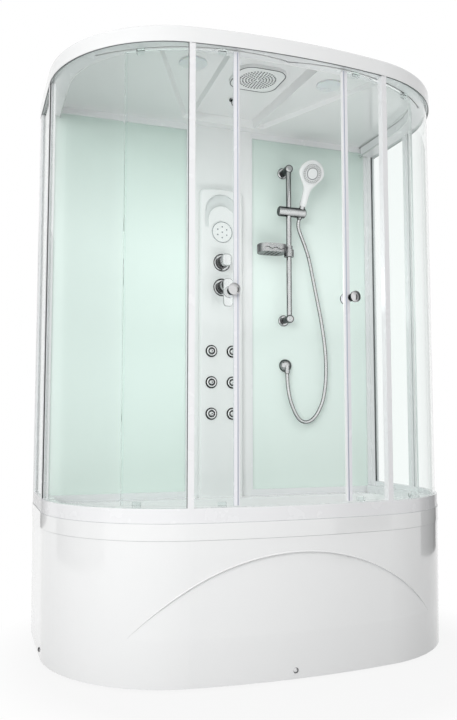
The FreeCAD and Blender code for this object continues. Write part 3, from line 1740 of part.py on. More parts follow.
def hose_route():
    """The route's points: out of the cone nut, through the loop and up into the outlet's spout."""
    start = [part.value for part in handset_point(-S.cone_below)]
    leave = [part.value for part in handset_point(-S.cone_below - 18)]
    end = [S.outlet_x.value, SPOUT_END_Y.value, SPOUT_END_Z.value]
    points = [start, leave] + HOSE_MIDDLE + [end]
    return [FreeCAD.Vector(*point) for point in points]


def shower_hose():
    """Tube along straight runs joined by the largest tangent arcs that the runs allow."""
    points = hose_route()
    edges = []
    radii = []
    last = points[0]
    for before, here, after in zip(points, points[1:], points[2:]):
        back = before - here
        ahead = after - here
        shorter = min(back.Length, ahead.Length)
        back.normalize()
        ahead.normalize()
        half_turn = (math.pi - back.getAngle(ahead)) / 2
        reach = 0.45 * shorter
        radius = reach / math.tan(half_turn)
        radii.append(radius)
        start = here + back * reach
        end = here + ahead * reach
        towards = back + ahead
        towards.normalize()
        middle = here + towards * (radius / math.cos(half_turn) - radius)
        edges.append(Part.LineSegment(last, start).toShape())
        edges.append(Part.Arc(start, middle, end).toShape())
        last = end
    edges.append(Part.LineSegment(last, points[-1]).toShape())
    path = Part.Wire(edges)
    circle = Part.makeCircle(S.hose_radius.value, points[0], points[1] - points[0])
    piece = doc.addObject("Part::Feature", "shower_hose")
    piece.Shape = path.makePipeShell([Part.Wire(circle)], True, False)
    section = math.pi * S.hose_radius.value ** 2
    print("hose length", round(path.Length, 1), "radii", [round(radius) for radius in radii])
    print("hose volume against section times length", round(piece.Shape.Volume / (section * path.Length), 5))
    return piece


COLLAR_FOOT = S.dish_height - S.collar_height / 2
RING_FOOT = COLLAR_FOOT + S.collar_flange_height + S.dish_play


def dish_collar():
    """Collar on the tube, with a flange that carries the dish."""
    bore = S.riser_radius + S.slide_play
    top = COLLAR_FOOT + S.collar_height
    flange_top = COLLAR_FOOT + S.collar_flange_height
    outline = [
        (bore, COLLAR_FOOT),
        (S.collar_flange, COLLAR_FOOT),
        (S.collar_flange, flange_top),
        (S.collar_radius, flange_top),
        (S.collar_radius, top),
        (bore, top),
    ]
    return turned("dish_collar", outline, (S.riser_x, RISER_Y, 0))


def soap_dish():
    """Open tray with a slotted floor on a ring that swivels on the collar."""
    bore = S.collar_radius + S.dish_play
    ring_outline = strip(bore, S.collar_flange, RING_FOOT, RING_FOOT + S.dish_ring_height)
    ring = turned("dish_ring", ring_outline, (S.riser_x, RISER_Y, 0))
    half = S.dish_length / 2
    overlap = S.dish_wall / 2
    middle = S.riser_x - S.collar_flange - half + overlap
    wall = S.dish_wall
    outer_loop = rounded_rectangle(middle, RISER_Y, half, S.dish_width / 2, S.dish_bend)
    inner_half = S.dish_width / 2 - wall
    inner_loop = rounded_rectangle(middle, RISER_Y, half - wall, inner_half, S.dish_bend - wall)
    foot = RING_FOOT
    outer = pad("dish_outer", [outer_loop], foot, S.dish_height_outer)
    inner = pad("dish_inner", [inner_loop], foot + wall, S.dish_height_outer)
    slots = []
    half_slot = S.dish_slot_width / 2
    for number in range(-1, 3):
        x = middle + S.dish_slot_pitch * (number - 0.5)
        loop = rounded_rectangle(x, RISER_Y, half_slot, S.dish_slot_length / 2, half_slot * 0.98)
        slots.append(pad(f"dish_slot_{number + 1}", [loop], foot - wall, wall * 3))
    return fuse("soap_dish", ring, cut("dish_tray", outer, inner, *slots))


# Roof


STRIP_FRONT_Y = FRONT_EDGE + S.strip_front_gap
STRIP_REAR_Y = REAR_WALL - S.strip_rear_gap
LOBE_SIDE = S.width / 2 - S.lobe_side_gap
LOBE_SIDE_Y = FRONT_EDGE + S.lobe_corner_gap
LOBE_FRONT_X = S.width / 2 - S.lobe_front_side
LOBE_FRONT_Y = FRONT_EDGE + S.lobe_front_gap
LIGHT_X = (S.strip_front_half + LOBE_SIDE) / 2 - S.light_shift
LIGHT_Y = FRONT_EDGE + S.light_front_gap
SPOUT_Y = REAR_WALL - S.spout_gap


def strip_recess(name, skin):
    """The middle recess of the ceiling, widening to the front, grown by a skin."""

    def plan(grow):
        rear = S.strip_rear_half + grow
        front = S.strip_front_half + grow
        rear_y = STRIP_REAR_Y + grow
        front_y = STRIP_FRONT_Y - grow
        return [(-rear, rear_y), (-front, front_y), (front, front_y), (rear, rear_y)]

    top = CEILING + S.strip_rise + skin
    return lofted(name, [(plan(skin), CEILING), (plan(skin - S.recess_slope), top)])


def lobe_recess(name, skin):
    """The left lobe of the ceiling beside the middle recess, grown by a skin."""

    def plan(grow):
        near = S.strip_rear_half + S.lobe_gap - grow
        far = near + S.lobe_rear_half + grow * 2
        rear_y = STRIP_REAR_Y - S.lobe_gap + grow
        front_y = LOBE_FRONT_Y - grow
        front_near = S.strip_front_half + S.lobe_gap - grow
        return [
            (-near, rear_y),
            (-far, rear_y),
            (-LOBE_SIDE - grow, LOBE_SIDE_Y),
            (-LOBE_FRONT_X - grow, front_y),
            (-front_near, front_y),
        ]

    top = CEILING + S.lobe_rise + skin
    return lofted(name, [(plan(skin), CEILING), (plan(skin - S.recess_slope), top)])


def roof_form(name, skin):
    """The roof's underside grown by a skin."""
    skin = sized(skin)
    base = pad(name + "_base", [cabin_plan(S.sheet - skin)], S.fascia_foot, S.fascia_height + skin)
    if skin.value > 0:
        top = (CEILING + skin).value
        rounded(base, S.fascia_bend, lambda edge: edge.BoundBox.ZMin > top - 0.01)
    lobe = lobe_recess(name + "_lobe", skin)
    return fuse(name, base, strip_recess(name + "_strip", skin), lobe, mirrored(name + "_lobe_right", lobe))


def roof_shell():
    sheet_depth = S.strip_rise + S.sheet * 2
    stem_radius = S.rain_stem_radius + S.hole_play
    stem_hole = rod("stem_hole", stem_radius, sheet_depth, (0, RAIN_Y, CEILING + S.strip_rise - S.sheet))
    hose_radius = S.riser_hose_radius + S.hole_play
    hose_hole = rod("hose_hole", hose_radius, sheet_depth, (0, RISER_HOSE_Y, CEILING - S.sheet))
    outside = roof_form("roof_outside", S.sheet)
    return cut("roof_shell", outside, roof_form("roof_inside", 0), stem_hole, hose_hole)


def rain_head():
    """Square rain head with round corners, and its stem through the roof."""
    under = CEILING + S.strip_rise
    loop = rounded_rectangle(0, RAIN_Y, S.rain_half, S.rain_half, S.rain_bend)
    plate = pad("rain_plate", [loop], under - S.rain_depth, S.rain_depth)
    limit = (under - S.rain_depth).value + 0.01
    rounded(plate, S.rain_depth / 4, lambda edge: edge.BoundBox.ZMax < limit)
    stem = rod("rain_stem", S.rain_stem_radius, STEM_TOP - under, (0, RAIN_Y, under))
    return fuse("rain_head", plate, stem)


def roof_lights():
    under = CEILING + S.lobe_rise
    edge = S.light_depth / 3
    radius = S.light_radius
    low = under - S.light_depth
    outline = [(0, low), (radius - edge, low), (radius, low + edge), (radius, under), (0, under)]
    return pair("roof_lights", turned("roof_light_left", outline, (-LIGHT_X, LIGHT_Y, 0)))


def roof_spout():
    """Small steam spout on the rear of the middle recess."""
    under = CEILING + S.strip_rise
    radius = S.spout_radius
    low = under - S.spout_reach
    outline = [
        (0, low),
        (radius / 3, low),
        (radius / 2, low + S.spout_reach / 3),
        (radius / 2, under - S.spout_reach / 4),
        (radius, under - S.spout_reach / 4),
        (radius, under),
        (0, under),
    ]
    return turned("roof_spout", outline, (S.spout_x, SPOUT_Y, 0))


# Assembly

sub_parts = [
    tub_shell(),
    cut("apron_panel", apron_form("apron_outside", 0), apron_form("apron_inside", S.apron_wall)),
    apron_screws(),
    tub_frame(),
    levelling_feet(),
    waste_fitting(),
    drain_plug(),
    waste_trap(),
    bottom_rail(),
    top_rail(),
    rear_posts(),
    mid_posts(),
    door_jambs(),
    side_glass(),
    corner_glass(),
    rear_frame(),
    rear_glass(),
    control_column(),
    keypad_panel(),
    valve_bodies(),
    diverter_knob(),
    mixer_cap(),
    mixer_lever(),
    jet_bezels(),
    supply_pipes(),
    control_box(),
    riser_tube(),
    riser_brackets(),
    slider_barrel(),
    shower_cradle(),
    handset_body(),
    handset_face(),
    hose_outlet(),
    shower_hose(),
    dish_collar(),
    soap_dish(),
    roof_shell(),
    rain_head(),
    roof_lights(),
    roof_spout(),
]
for number, (x, z) in enumerate(JET_PLACES, 1):
    sub_parts.append(jet_nozzle(f"jet_nozzle_{number}", x, z))

door_pieces = [door_glass(), door_edge(), door_seal(), door_knob(), door_hangers()]
for place_name, angle in zip(("lead", "tail"), HANGER_ANGLES):
    door_pieces.append(roller(f"roller_{place_name}_left", angle))
for piece in door_pieces:
    sub_parts += [piece, mirrored(piece.Name.replace("_left", "_right"), piece)]

doc.recompute()

for thing in doc.Objects:
    if {"Invalid", "Error"} & set(thing.State):
        raise RuntimeError(f"{thing.Name} failed: {thing.State}")
for piece in sub_parts:
    piece.Label = piece.Name
    if piece.Shape.isNull() or not piece.Shape.isValid() or not piece.Shape.Solids:
        raise RuntimeError(f"{piece.Label} has no valid solid")

os.makedirs("parts", exist_ok=True)
for piece in sub_parts:
    piece.Shape.exportStep(f"parts/{piece.Label}.step")
print(len(sub_parts), "sub-parts written")
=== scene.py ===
"""Studio picture of the shower cabin: finishes, light, camera and the shaped pieces on the CAD frame.

Lengths are in metres, except where a comment says otherwise.
"""

import math

import bmesh
import bpy
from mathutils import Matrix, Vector


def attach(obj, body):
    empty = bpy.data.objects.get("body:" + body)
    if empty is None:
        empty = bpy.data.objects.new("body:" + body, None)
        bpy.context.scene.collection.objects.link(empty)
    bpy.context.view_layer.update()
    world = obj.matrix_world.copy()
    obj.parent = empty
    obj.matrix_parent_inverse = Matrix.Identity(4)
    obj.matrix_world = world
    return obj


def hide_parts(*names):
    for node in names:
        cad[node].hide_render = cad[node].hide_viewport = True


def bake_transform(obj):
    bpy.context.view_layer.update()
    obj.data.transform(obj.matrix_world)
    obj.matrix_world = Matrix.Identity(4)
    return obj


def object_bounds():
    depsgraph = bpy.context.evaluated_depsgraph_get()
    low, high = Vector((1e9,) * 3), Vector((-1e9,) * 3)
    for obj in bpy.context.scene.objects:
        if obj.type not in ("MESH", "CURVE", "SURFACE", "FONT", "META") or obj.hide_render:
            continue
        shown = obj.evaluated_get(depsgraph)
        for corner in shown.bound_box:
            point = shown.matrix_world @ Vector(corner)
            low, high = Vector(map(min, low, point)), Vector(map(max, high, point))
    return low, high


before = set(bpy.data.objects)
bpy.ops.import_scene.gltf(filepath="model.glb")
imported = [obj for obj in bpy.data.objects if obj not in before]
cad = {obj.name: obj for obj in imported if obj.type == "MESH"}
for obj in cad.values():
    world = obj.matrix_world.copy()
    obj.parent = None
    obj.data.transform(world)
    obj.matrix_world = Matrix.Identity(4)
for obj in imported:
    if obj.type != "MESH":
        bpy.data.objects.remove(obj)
cad_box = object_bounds()
scene = bpy.context.scene

TO_RIGHT = Vector((1, 0, 0))
TO_REAR = Vector((0, 1, 0))
TO_TOP = Vector((0, 0, 1))
TO_FRONT = -TO_REAR
DOWN = -TO_TOP


# Shader helpers


def shader(tree, kind, inputs=None, **settings):
    """A shader node with its settings and inputs; a socket given as a value is linked."""
    made = tree.nodes.new(kind)
    for name, value in settings.items():
        setattr(made, name, value)
    for name, value in (inputs or {}).items():
        if isinstance(value, bpy.types.NodeSocket):
            tree.links.new(value, made.inputs[name])
        else:
            made.inputs[name].default_value = value
    return made


def spread(tree, value, low, high, first=0.0, last=1.0):
    """A value carried from the span low to high onto first to last, and held at its ends."""
    inputs = {"Value": value, "From Min": low, "From Max": high, "To Min": first, "To Max": last}
    return shader(tree, "ShaderNodeMapRange", inputs).outputs["Result"]


def calculated(tree, operation, first, second):
    """The result of one operation on two values."""
    return shader(tree, "ShaderNodeMath", {0: first, 1: second}, operation=operation).outputs[0]


def mix_colour(tree, factor, first, second):
    """The colour between two others by a factor."""
    return shader(tree, "ShaderNodeMix", {0: factor, 6: first, 7: second}, data_type="RGBA").outputs[2]


def blank(name):
    """A new material with only its output node."""
    material = bpy.data.materials.new(name)
    material.use_nodes = True
    material.node_tree.nodes.clear()
    tree = material.node_tree
    return material, tree, tree.nodes.new("ShaderNodeOutputMaterial")


def principled(material):
    """The main shader of a material."""
    return next(node for node in material.node_tree.nodes if node.type == "BSDF_PRINCIPLED")


def colour(red, green, blue):
    return (red, green, blue, 1.0)


def grey(level):
    return colour(level, level, level)


WEAR_SCALE = 14.0
WEAR_LOW, WEAR_HIGH = 0.3, 0.7
GRAIN_REACH = 0.001


def finish_group():
    """Shared finish: a cloudy colour, a wandering roughness and a fine grain."""
    tree = bpy.data.node_groups.new("Finish", "ShaderNodeTree")
    inputs = [
        ("Colour", "NodeSocketColor", grey(0.8)),
        ("Cloud Colour", "NodeSocketColor", grey(0.7)),
        ("Cloud Scale", "NodeSocketFloat", 3.0),
        ("Smooth", "NodeSocketFloat", 0.1),
        ("Rough", "NodeSocketFloat", 0.3),
        ("Grain Scale", "NodeSocketFloat", 300.0),
        ("Grain Depth", "NodeSocketFloat", 0.02),
    ]
    for name, kind, value in inputs:
        socket = tree.interface.new_socket(name, in_out="INPUT", socket_type=kind)
        socket.default_value = value
    outputs = {"Color": "NodeSocketColor", "Roughness": "NodeSocketFloat", "Normal": "NodeSocketVector"}
    for name, kind in outputs.items():
        tree.interface.new_socket(name, in_out="OUTPUT", socket_type=kind)
    given = tree.nodes.new("NodeGroupInput").outputs
    where = tree.nodes.new("ShaderNodeTexCoord").outputs["Object"]

    def noise(scale, detail):
        settings = {"Vector": where, "Scale": scale, "Detail": detail}
        return shader(tree, "ShaderNodeTexNoise", settings).outputs["Fac"]

    cloud = noise(given["Cloud Scale"], detail=4.0)
    tint = mix_colour(tree, cloud, given["Colour"], given["Cloud Colour"])
    wear = noise(WEAR_SCALE, detail=5.0)
    rough = spread(tree, wear, WEAR_LOW, WEAR_HIGH, given["Smooth"], given["Rough"])
    grain = noise(given["Grain Scale"], detail=2.0)
    relief = {"Height": grain, "Strength": given["Grain Depth"], "Distance": GRAIN_REACH}
    bump = shader(tree, "ShaderNodeBump", relief).outputs["Normal"]
    result = tree.nodes.new("NodeGroupOutput").inputs
    tree.links.new(tint, result["Color"])
    tree.links.new(rough, result["Roughness"])
    tree.links.new(bump, result["Normal"])
    return tree


FINISH = finish_group()


def finished(name, main, cloud, smooth, rough, scale=3.0, grain=300.0, depth=0.02, **surface):
    """A material with the shared finish; surface holds further inputs of its shader, with _ for spaces."""
    material, tree, output = blank(name)
    look = shader(tree, "ShaderNodeGroup", node_tree=FINISH)
    values = [main, cloud, scale, smooth, rough, grain, depth]
    for socket, value in zip(look.inputs, values):
        socket.default_value = value
    inputs = {
        "Base Color": look.outputs["Color"],
        "Roughness": look.outputs["Roughness"],
        "Normal": look.outputs["Normal"],
    }
    inputs.update({key.replace("_", " "): value for key, value in surface.items()})
    body = shader(tree, "ShaderNodeBsdfPrincipled", inputs)
    tree.links.new(body.outputs["BSDF"], output.inputs["Surface"])
    return material


def see_through(material, tint):
    """Lets light through a pane: shadows and bounced light pass it with a slight tint."""
    tree = material.node_tree
    output = next(node for node in tree.nodes if node.type == "OUTPUT_MATERIAL")
    body = output.inputs["Surface"].links[0].from_socket
    path = tree.nodes.new("ShaderNodeLightPath").outputs
    passing = calculated(tree, "MAXIMUM", path["Is Shadow Ray"], path["Is Diffuse Ray"])
    clear = shader(tree, "ShaderNodeBsdfTransparent", {"Color": tint})
    mix = shader(tree, "ShaderNodeMixShader", {0: passing, 1: body, 2: clear.outputs[0]})
    tree.links.new(mix.outputs[0], output.inputs["Surface"])
    return material


# Finishes

# Where the painted reflection of dark surroundings on polished metal begins and is full, by how far the
# surface faces away from the eye
SHADE_START, SHADE_FULL = 0.07, 0.42


def edged(name, main, cloud, edge, smooth, rough):
    """Polished metal whose colour is painted dark where the surface bends away from the eye: a painted
    reflection of dark surroundings.
    """
    material = finished(name, main, cloud, smooth, rough, scale=9.0, grain=200.0, depth=0.006, Metallic=1.0)
    tree = material.node_tree
    body = principled(material)
    plain = body.inputs["Base Color"].links[0].from_socket
    # Painted reflection: the colour goes over to the dark edge colour as the surface turns from the eye
    facing = shader(tree, "ShaderNodeLayerWeight", {"Blend": 0.5}).outputs["Facing"]
    shade = mix_colour(tree, spread(tree, facing, SHADE_START, SHADE_FULL), plain, edge)
    tree.links.new(shade, body.inputs["Base Color"])
    return material


acrylic = finished(
    "white acrylic", colour(0.875, 0.88, 0.88), colour(0.855, 0.862, 0.864), smooth=0.08, rough=0.14,
    scale=2.0, grain=60.0, depth=0.002, Coat_Weight=0.5, Coat_Roughness=0.04,
)
enamel = finished(
    "white enamel", colour(0.86, 0.862, 0.872), colour(0.83, 0.834, 0.848), smooth=0.2, rough=0.3,
    scale=4.0, grain=500.0, depth=0.003, Coat_Weight=0.25, Coat_Roughness=0.1,
)
lilac_enamel = finished(
    "pale lilac enamel", colour(0.85, 0.85, 0.885), colour(0.82, 0.822, 0.858), smooth=0.2, rough=0.3,
    scale=4.0, grain=500.0, depth=0.003, Coat_Weight=0.25, Coat_Roughness=0.1,
)
clear_glass = see_through(
    finished(
        "clear glass", colour(0.978, 0.994, 0.988), colour(0.972, 0.99, 0.984), smooth=0.0, rough=0.012,
        scale=1.5, grain=8.0, depth=0.0, Transmission_Weight=1.0, IOR=1.15,
    ),
    colour(0.96, 0.98, 0.973),
)
# The third colour of each polished metal below is its painted reflection of dark surroundings at the edges
chrome = edged(
    "chrome", colour(0.74, 0.745, 0.75), colour(0.66, 0.665, 0.67), colour(0.03, 0.032, 0.035),
    smooth=0.04, rough=0.10,
)
pale_chrome = edged(
    "pale chrome", colour(0.94, 0.945, 0.945), colour(0.90, 0.906, 0.908), colour(0.50, 0.51, 0.515),
    smooth=0.10, rough=0.18,
)
satin_chrome = edged(
    "satin chrome", colour(0.60, 0.602, 0.605), colour(0.52, 0.523, 0.527), colour(0.12, 0.123, 0.126),
    smooth=0.20, rough=0.30,
)
dark_chrome = edged(
    "dark chrome", colour(0.07, 0.073, 0.076), colour(0.035, 0.037, 0.039), colour(0.008, 0.008, 0.009),
    smooth=0.10, rough=0.2,
)
white_plastic = finished(
    "white plastic", colour(0.88, 0.885, 0.885), colour(0.85, 0.856, 0.858), smooth=0.12, rough=0.2,
    scale=8.0, grain=400.0, depth=0.004, Coat_Weight=0.4, Coat_Roughness=0.05,
)
# Darker than the white acrylic round it: painted shade of the recess, on a rougher matt finish
matt_recess_painted_shade = finished(
    "matt acrylic recess with painted shade", colour(0.76, 0.78, 0.78), colour(0.73, 0.752, 0.752), smooth=0.3, rough=0.42,
    scale=6.0, grain=300.0, depth=0.01,
)
pale_spray = finished(
    "pale spray plate", colour(0.85, 0.855, 0.857), colour(0.80, 0.806, 0.81), smooth=0.18, rough=0.3,
    scale=10.0, grain=500.0, depth=0.01, Coat_Weight=0.3,
)
nozzle_rubber = finished(
    "grey nozzle rubber", colour(0.13, 0.135, 0.14), colour(0.08, 0.085, 0.09), smooth=0.4, rough=0.6,
    scale=20.0, grain=600.0, depth=0.03,
)
seal_vinyl = see_through(
    finished(
        "clear vinyl seal", colour(0.985, 0.994, 0.992), colour(0.975, 0.988, 0.986), smooth=0.0, rough=0.02,
        scale=5.0, grain=300.0, depth=0.0, Transmission_Weight=1.0, IOR=1.03,
    ),
    colour(0.97, 0.985, 0.982),
)
clear_plastic = see_through(
    finished(
        "clear plastic", colour(0.965, 0.98, 0.978), colour(0.94, 0.96, 0.958), smooth=0.02, rough=0.07,
        scale=9.0, grain=300.0, depth=0.004, Transmission_Weight=1.0, IOR=1.2,
    ),
    colour(0.95, 0.97, 0.967),
)
opal_lens = finished(
    "opal lens", grey(0.84), grey(0.79), smooth=0.25, rough=0.38,
    scale=12.0, grain=300.0, depth=0.01, Subsurface_Weight=0.15,
)
zinc = finished(
    "galvanised steel", colour(0.56, 0.57, 0.58), colour(0.40, 0.41, 0.42), smooth=0.35, rough=0.55,
    scale=22.0, grain=120.0, depth=0.06, Metallic=0.9,
)
black_plastic = finished(
    "black plastic", colour(0.035, 0.035, 0.038), colour(0.055, 0.055, 0.058), smooth=0.4, rough=0.6,
    scale=15.0, grain=500.0, depth=0.06,
)
pipe_grey = finished(
    "grey pipe", colour(0.52, 0.53, 0.54), colour(0.44, 0.45, 0.46), smooth=0.3, rough=0.5,
    scale=9.0, grain=300.0, depth=0.04,
)
nylon = finished(
    "white nylon", colour(0.80, 0.80, 0.78), colour(0.72, 0.72, 0.70), smooth=0.35, rough=0.5,
    scale=14.0, grain=400.0, depth=0.04, Subsurface_Weight=0.1,
)
grey_mark = finished(
    "grey print", colour(0.22, 0.25, 0.27), colour(0.17, 0.20, 0.22), smooth=0.3, rough=0.45,
    scale=40.0, grain=500.0, depth=0.01,
)
# Grey of the sealant joints, darkened as painted shade of the gaps they fill
sealant_with_painted_shade = finished(
    "grey sealant", colour(0.60, 0.61, 0.62), colour(0.52, 0.53, 0.54), smooth=0.4, rough=0.55,
    scale=12.0, grain=400.0, depth=0.01,
)
blue_gasket = finished(
    "blue grey gasket", colour(0.50, 0.54, 0.64), colour(0.44, 0.48, 0.58), smooth=0.3, rough=0.45,
    scale=12.0, grain=400.0, depth=0.01,
)
# Dark rubber of the gaskets; on the seams at the fascia's foot and under the ceiling it is painted shade of a
# gap
dark_gasket_and_painted_shade = finished(
    "dark gasket and painted shade", colour(0.14, 0.145, 0.15), colour(0.09, 0.095, 0.10), smooth=0.35, rough=0.5,
    scale=12.0, grain=400.0, depth=0.01,
)

# Colours of the rear panes by height: their mint, with painted shade that leaves them palest at breast height
# and darker towards the ceiling and the tub
MINT_FOOT, MINT_TOP = 0.5, 2.05
MINT_AND_PAINTED_SHADE_STOPS = [
    (0.0, colour(0.83, 0.91, 0.87)),
    (0.35, colour(0.905, 0.99, 0.955)),
    (0.62, colour(0.905, 0.99, 0.955)),
    (1.0, colour(0.72, 0.81, 0.77)),
]


def frosted():
    """Mint frosted glass with painted shade by height: palest at breast height and darker towards the ceiling
    and the tub.
    """
    material = finished(
        "frosted mint glass", grey(1), grey(1), smooth=0.5, rough=0.62, grain=900.0,
        Transmission_Weight=0.22, IOR=1.2, Coat_Weight=0.1, Coat_Roughness=0.15,
    )
    tree = material.node_tree
    where = tree.nodes.new("ShaderNodeTexCoord").outputs["Object"]
    height = shader(tree, "ShaderNodeSeparateXYZ", {"Vector": where}).outputs["Z"]
    ramp = shader(tree, "ShaderNodeValToRGB", {"Fac": spread(tree, height, MINT_FOOT, MINT_TOP)})
    ramp.color_ramp.interpolation = "EASE"
    points = ramp.color_ramp.elements
    for place, _ in MINT_AND_PAINTED_SHADE_STOPS[1:-1]:
        points.new(place)
    for point, (place, shade) in zip(points, MINT_AND_PAINTED_SHADE_STOPS):
        point.position = place
        point.color = shade
    tree.links.new(ramp.outputs["Color"], principled(material).inputs["Base Color"])
    return see_through(material, colour(0.84, 0.92, 0.89))


RIDGE_STRENGTH, RIDGE_REACH = 0.12, 0.0005


def hose_steel():
    """Chrome of the hose, with the fine ridges of its wound strip and a painted reflection of dark
    surroundings at its edges.
    """
    material = edged(
        "wound chrome hose", colour(0.80, 0.805, 0.81), colour(0.72, 0.725, 0.73), colour(0.02, 0.022, 0.025),
        smooth=0.06, rough=0.14,
    )
    tree = material.node_tree
    along = tree.nodes.new("ShaderNodeTexCoord").outputs["UV"]
    ridges = {"Vector": along, "Scale": 1.0, "Distortion": 0.0}
    wave = shader(tree, "ShaderNodeTexWave", ridges, bands_direction="Y").outputs["Fac"]
    relief = {"Height": wave, "Strength": RIDGE_STRENGTH, "Distance": RIDGE_REACH}
    bump = shader(tree, "ShaderNodeBump", relief).outputs["Normal"]
    tree.links.new(bump, principled(material).inputs["Normal"])
    return material


frosted_glass = frosted()
hose_metal = hose_steel()

FINISHES = {
    acrylic: ["tub_shell", "apron_panel", "roof_shell", "control_column"],
    enamel: ["bottom_rail", "top_rail", "rear_frame", "rear_posts", "mid_posts", "door_jambs"],
    white_plastic: ["handset_body", "keypad_panel", "rain_head"],
    lilac_enamel: ["door_edge_left", "door_edge_right"],
    clear_glass: ["side_glass", "corner_glass", "door_glass_left", "door_glass_right"],
    frosted_glass: ["rear_glass"],
    chrome: [
        "valve_bodies", "riser_tube", "riser_brackets", "slider_barrel", "shower_cradle", "hose_outlet",
        "door_knob_left", "door_knob_right", "roof_spout", "apron_screws", "waste_fitting", "drain_plug",
    ],
    pale_chrome: [
        "diverter_knob", "mixer_cap", "mixer_lever", "jet_bezels",
        *(f"jet_nozzle_{number}" for number in range(1, 7)),
    ],
    satin_chrome: ["dish_collar", "soap_dish"],
    hose_metal: ["shower_hose"],
    pale_spray: ["handset_face"],
    seal_vinyl: ["door_seal_left", "door_seal_right"],
    opal_lens: ["roof_lights"],
    zinc: ["tub_frame"],
    black_plastic: ["levelling_feet", "control_box"],
    pipe_grey: ["waste_trap", "supply_pipes"],
    clear_plastic: ["door_hangers_left", "door_hangers_right"],
    nylon: ["roller_lead_left", "roller_lead_right", "roller_tail_left", "roller_tail_right"],
}
for material, names in FINISHES.items():
    for name in names:
        mesh = cad[name].data
        mesh.materials.clear()
        mesh.materials.append(material)

# The seals' strips at the leading edges are white
LEADING_REACH = 0.25
for name in ("door_seal_left", "door_seal_right"):
    mesh = cad[name].data
    mesh.materials.append(white_plastic)
    for face in mesh.polygons:
        middle = cad[name].matrix_world @ face.center
        face.material_index = int(abs(middle.x) < LEADING_REACH)

# The niche above the keypad has a matt floor, painted darker as shade in the recess
NICHE_HALF_WIDTH = 0.0742
NICHE_FRONT, NICHE_BACK = 0.3502, 0.3655
NICHE_FOOT, NICHE_TOP = 1.618, 1.763
column = cad["control_column"].data
column.materials.append(matt_recess_painted_shade)
for face in column.polygons:
    x, y, z = face.center
    inside = abs(x) < NICHE_HALF_WIDTH and NICHE_FRONT < y < NICHE_BACK and NICHE_FOOT < z < NICHE_TOP
    face.material_index = int(inside)


# Mesh helpers

WELD = 1e-6


def piece(name, mesh_maker, material, body=None, stands_for=()):
    """A new object from a mesh-building function, with its finish, its body and what it stands for."""
    grid = bmesh.new()
    mesh_maker(grid)
    bmesh.ops.recalc_face_normals(grid, faces=grid.faces)
    mesh = bpy.data.meshes.new(name)
    grid.to_mesh(mesh)
    grid.free()
    for face in mesh.polygons:
        face.use_smooth = True
    made = bpy.data.objects.new(name, mesh)
    scene.collection.objects.link(made)
    mesh.materials.append(material)
    if body:
        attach(made, body)
    if stands_for:
        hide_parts(*stands_for)
    return made


def skin(grid, rings, caps=True):
    """Faces between closed rings of points; the ends can be capped."""
    rows = [[grid.verts.new(point) for point in ring] for ring in rings]
    count = len(rows[0])
    for low, high in zip(rows, rows[1:]):
        for step in range(count):
            after = (step + 1) % count
            grid.faces.new((low[step], low[after], high[after], high[step]))
    if caps:
        grid.faces.new(list(reversed(rows[0])))
        grid.faces.new(rows[-1])
    return rows


def circle(centre, axis, across, radius, sides):
    """Points round an axis, from the direction across on."""
    third = axis.cross(across)
    turns = [math.tau * step / sides for step in range(sides)]
    return [centre + (across * math.cos(turn) + third * math.sin(turn)) * radius for turn in turns]


def turned(grid, outline, centre, axis, across, sides):
    """A solid turned about an axis, from its outline of (radius, distance along the axis)."""
    skin(grid, [circle(centre + axis * along, axis, across, radius, sides) for radius, along in outline])


def band(grid, outline, centre, axis, across, sides):
    """A ring turned about an axis, from its closed outline of (radius, distance along the axis)."""
    rings = []
    for radius, along in (*outline, outline[0]):
        rings.append(circle(centre + axis * along, axis, across, radius, sides))
    skin(grid, rings, caps=False)
    bmesh.ops.remove_doubles(grid, verts=grid.verts, dist=WELD)


def flat_ring(radii, levels):
    """The outline of a flat ring between two radii and two distances along its axis."""
    (inner, outer), (low, high) = radii, levels
    return [(inner, low), (outer, low), (outer, high), (inner, high)]


def dots(grid, places, axis, across, size, sides):
    """Small domes of one radius and rise at a list of points."""
    radius, rise = size
    outline = [(radius, 0), (radius * 0.8, rise * 0.7), (radius * 0.3, rise)]
    for place in places:
        turned(grid, outline, place, axis, across, sides)


def rings_along(points, radii, sides):
    """Round sections along a line of points."""
    across = (points[1] - points[0]).orthogonal().normalized()
    last = len(points) - 1
    rings = []
    for number, (point, radius) in enumerate(zip(points, radii)):
        ahead = (points[min(number + 1, last)] - points[max(number - 1, 0)]).normalized()
        across = (across - ahead * across.dot(ahead)).normalized()
        rings.append(circle(point, ahead, across, radius, sides))
    return rings


def bead(grid, points, radii, sides=8):
    """A round bead along a line of points, with its radius at each of them."""
    skin(grid, rings_along(points, radii, sides))


def upright(grid, plan, foot, top):
    """A straight strip with one plan outline."""
    skin(grid, [[Vector((x, y, height)) for x, y in plan] for height in (foot, top)])


def line_length(points):
    return sum((after - here).length for here, after in zip(points, points[1:]))


# The hose, in two lengths that meet where the upper one starts to follow the cradle

HOSE_POINTS = [
    (0.34839, 0.33049, 1.68129), (0.34606, 0.33723, 1.66476), (0.351, 0.341, 1.640), (0.366, 0.3415, 1.604),
    (0.382, 0.342, 1.566), (0.400, 0.3435, 1.518), (0.419, 0.346, 1.434), (0.439, 0.349, 1.345),
    (0.457, 0.351, 1.265), (0.471, 0.353, 1.189), (0.480, 0.354, 1.122), (0.484, 0.355, 1.064),
    (0.484, 0.355, 1.005), (0.480, 0.356, 0.952), (0.470, 0.356, 0.898), (0.455, 0.357, 0.862),
    (0.436, 0.357, 0.830), (0.412, 0.358, 0.807), (0.385, 0.358, 0.799), (0.360, 0.359, 0.808),
    (0.341, 0.359, 0.831), (0.327, 0.360, 0.862), (0.316, 0.361, 0.892), (0.308, 0.361, 0.927),
    (0.302, 0.362, 0.974), (0.302, 0.362, 1.010),
]
HOSE_RADIUS = 0.0075
UPPER_LENGTH = 0.17
RIDGES_PER_METRE = 120


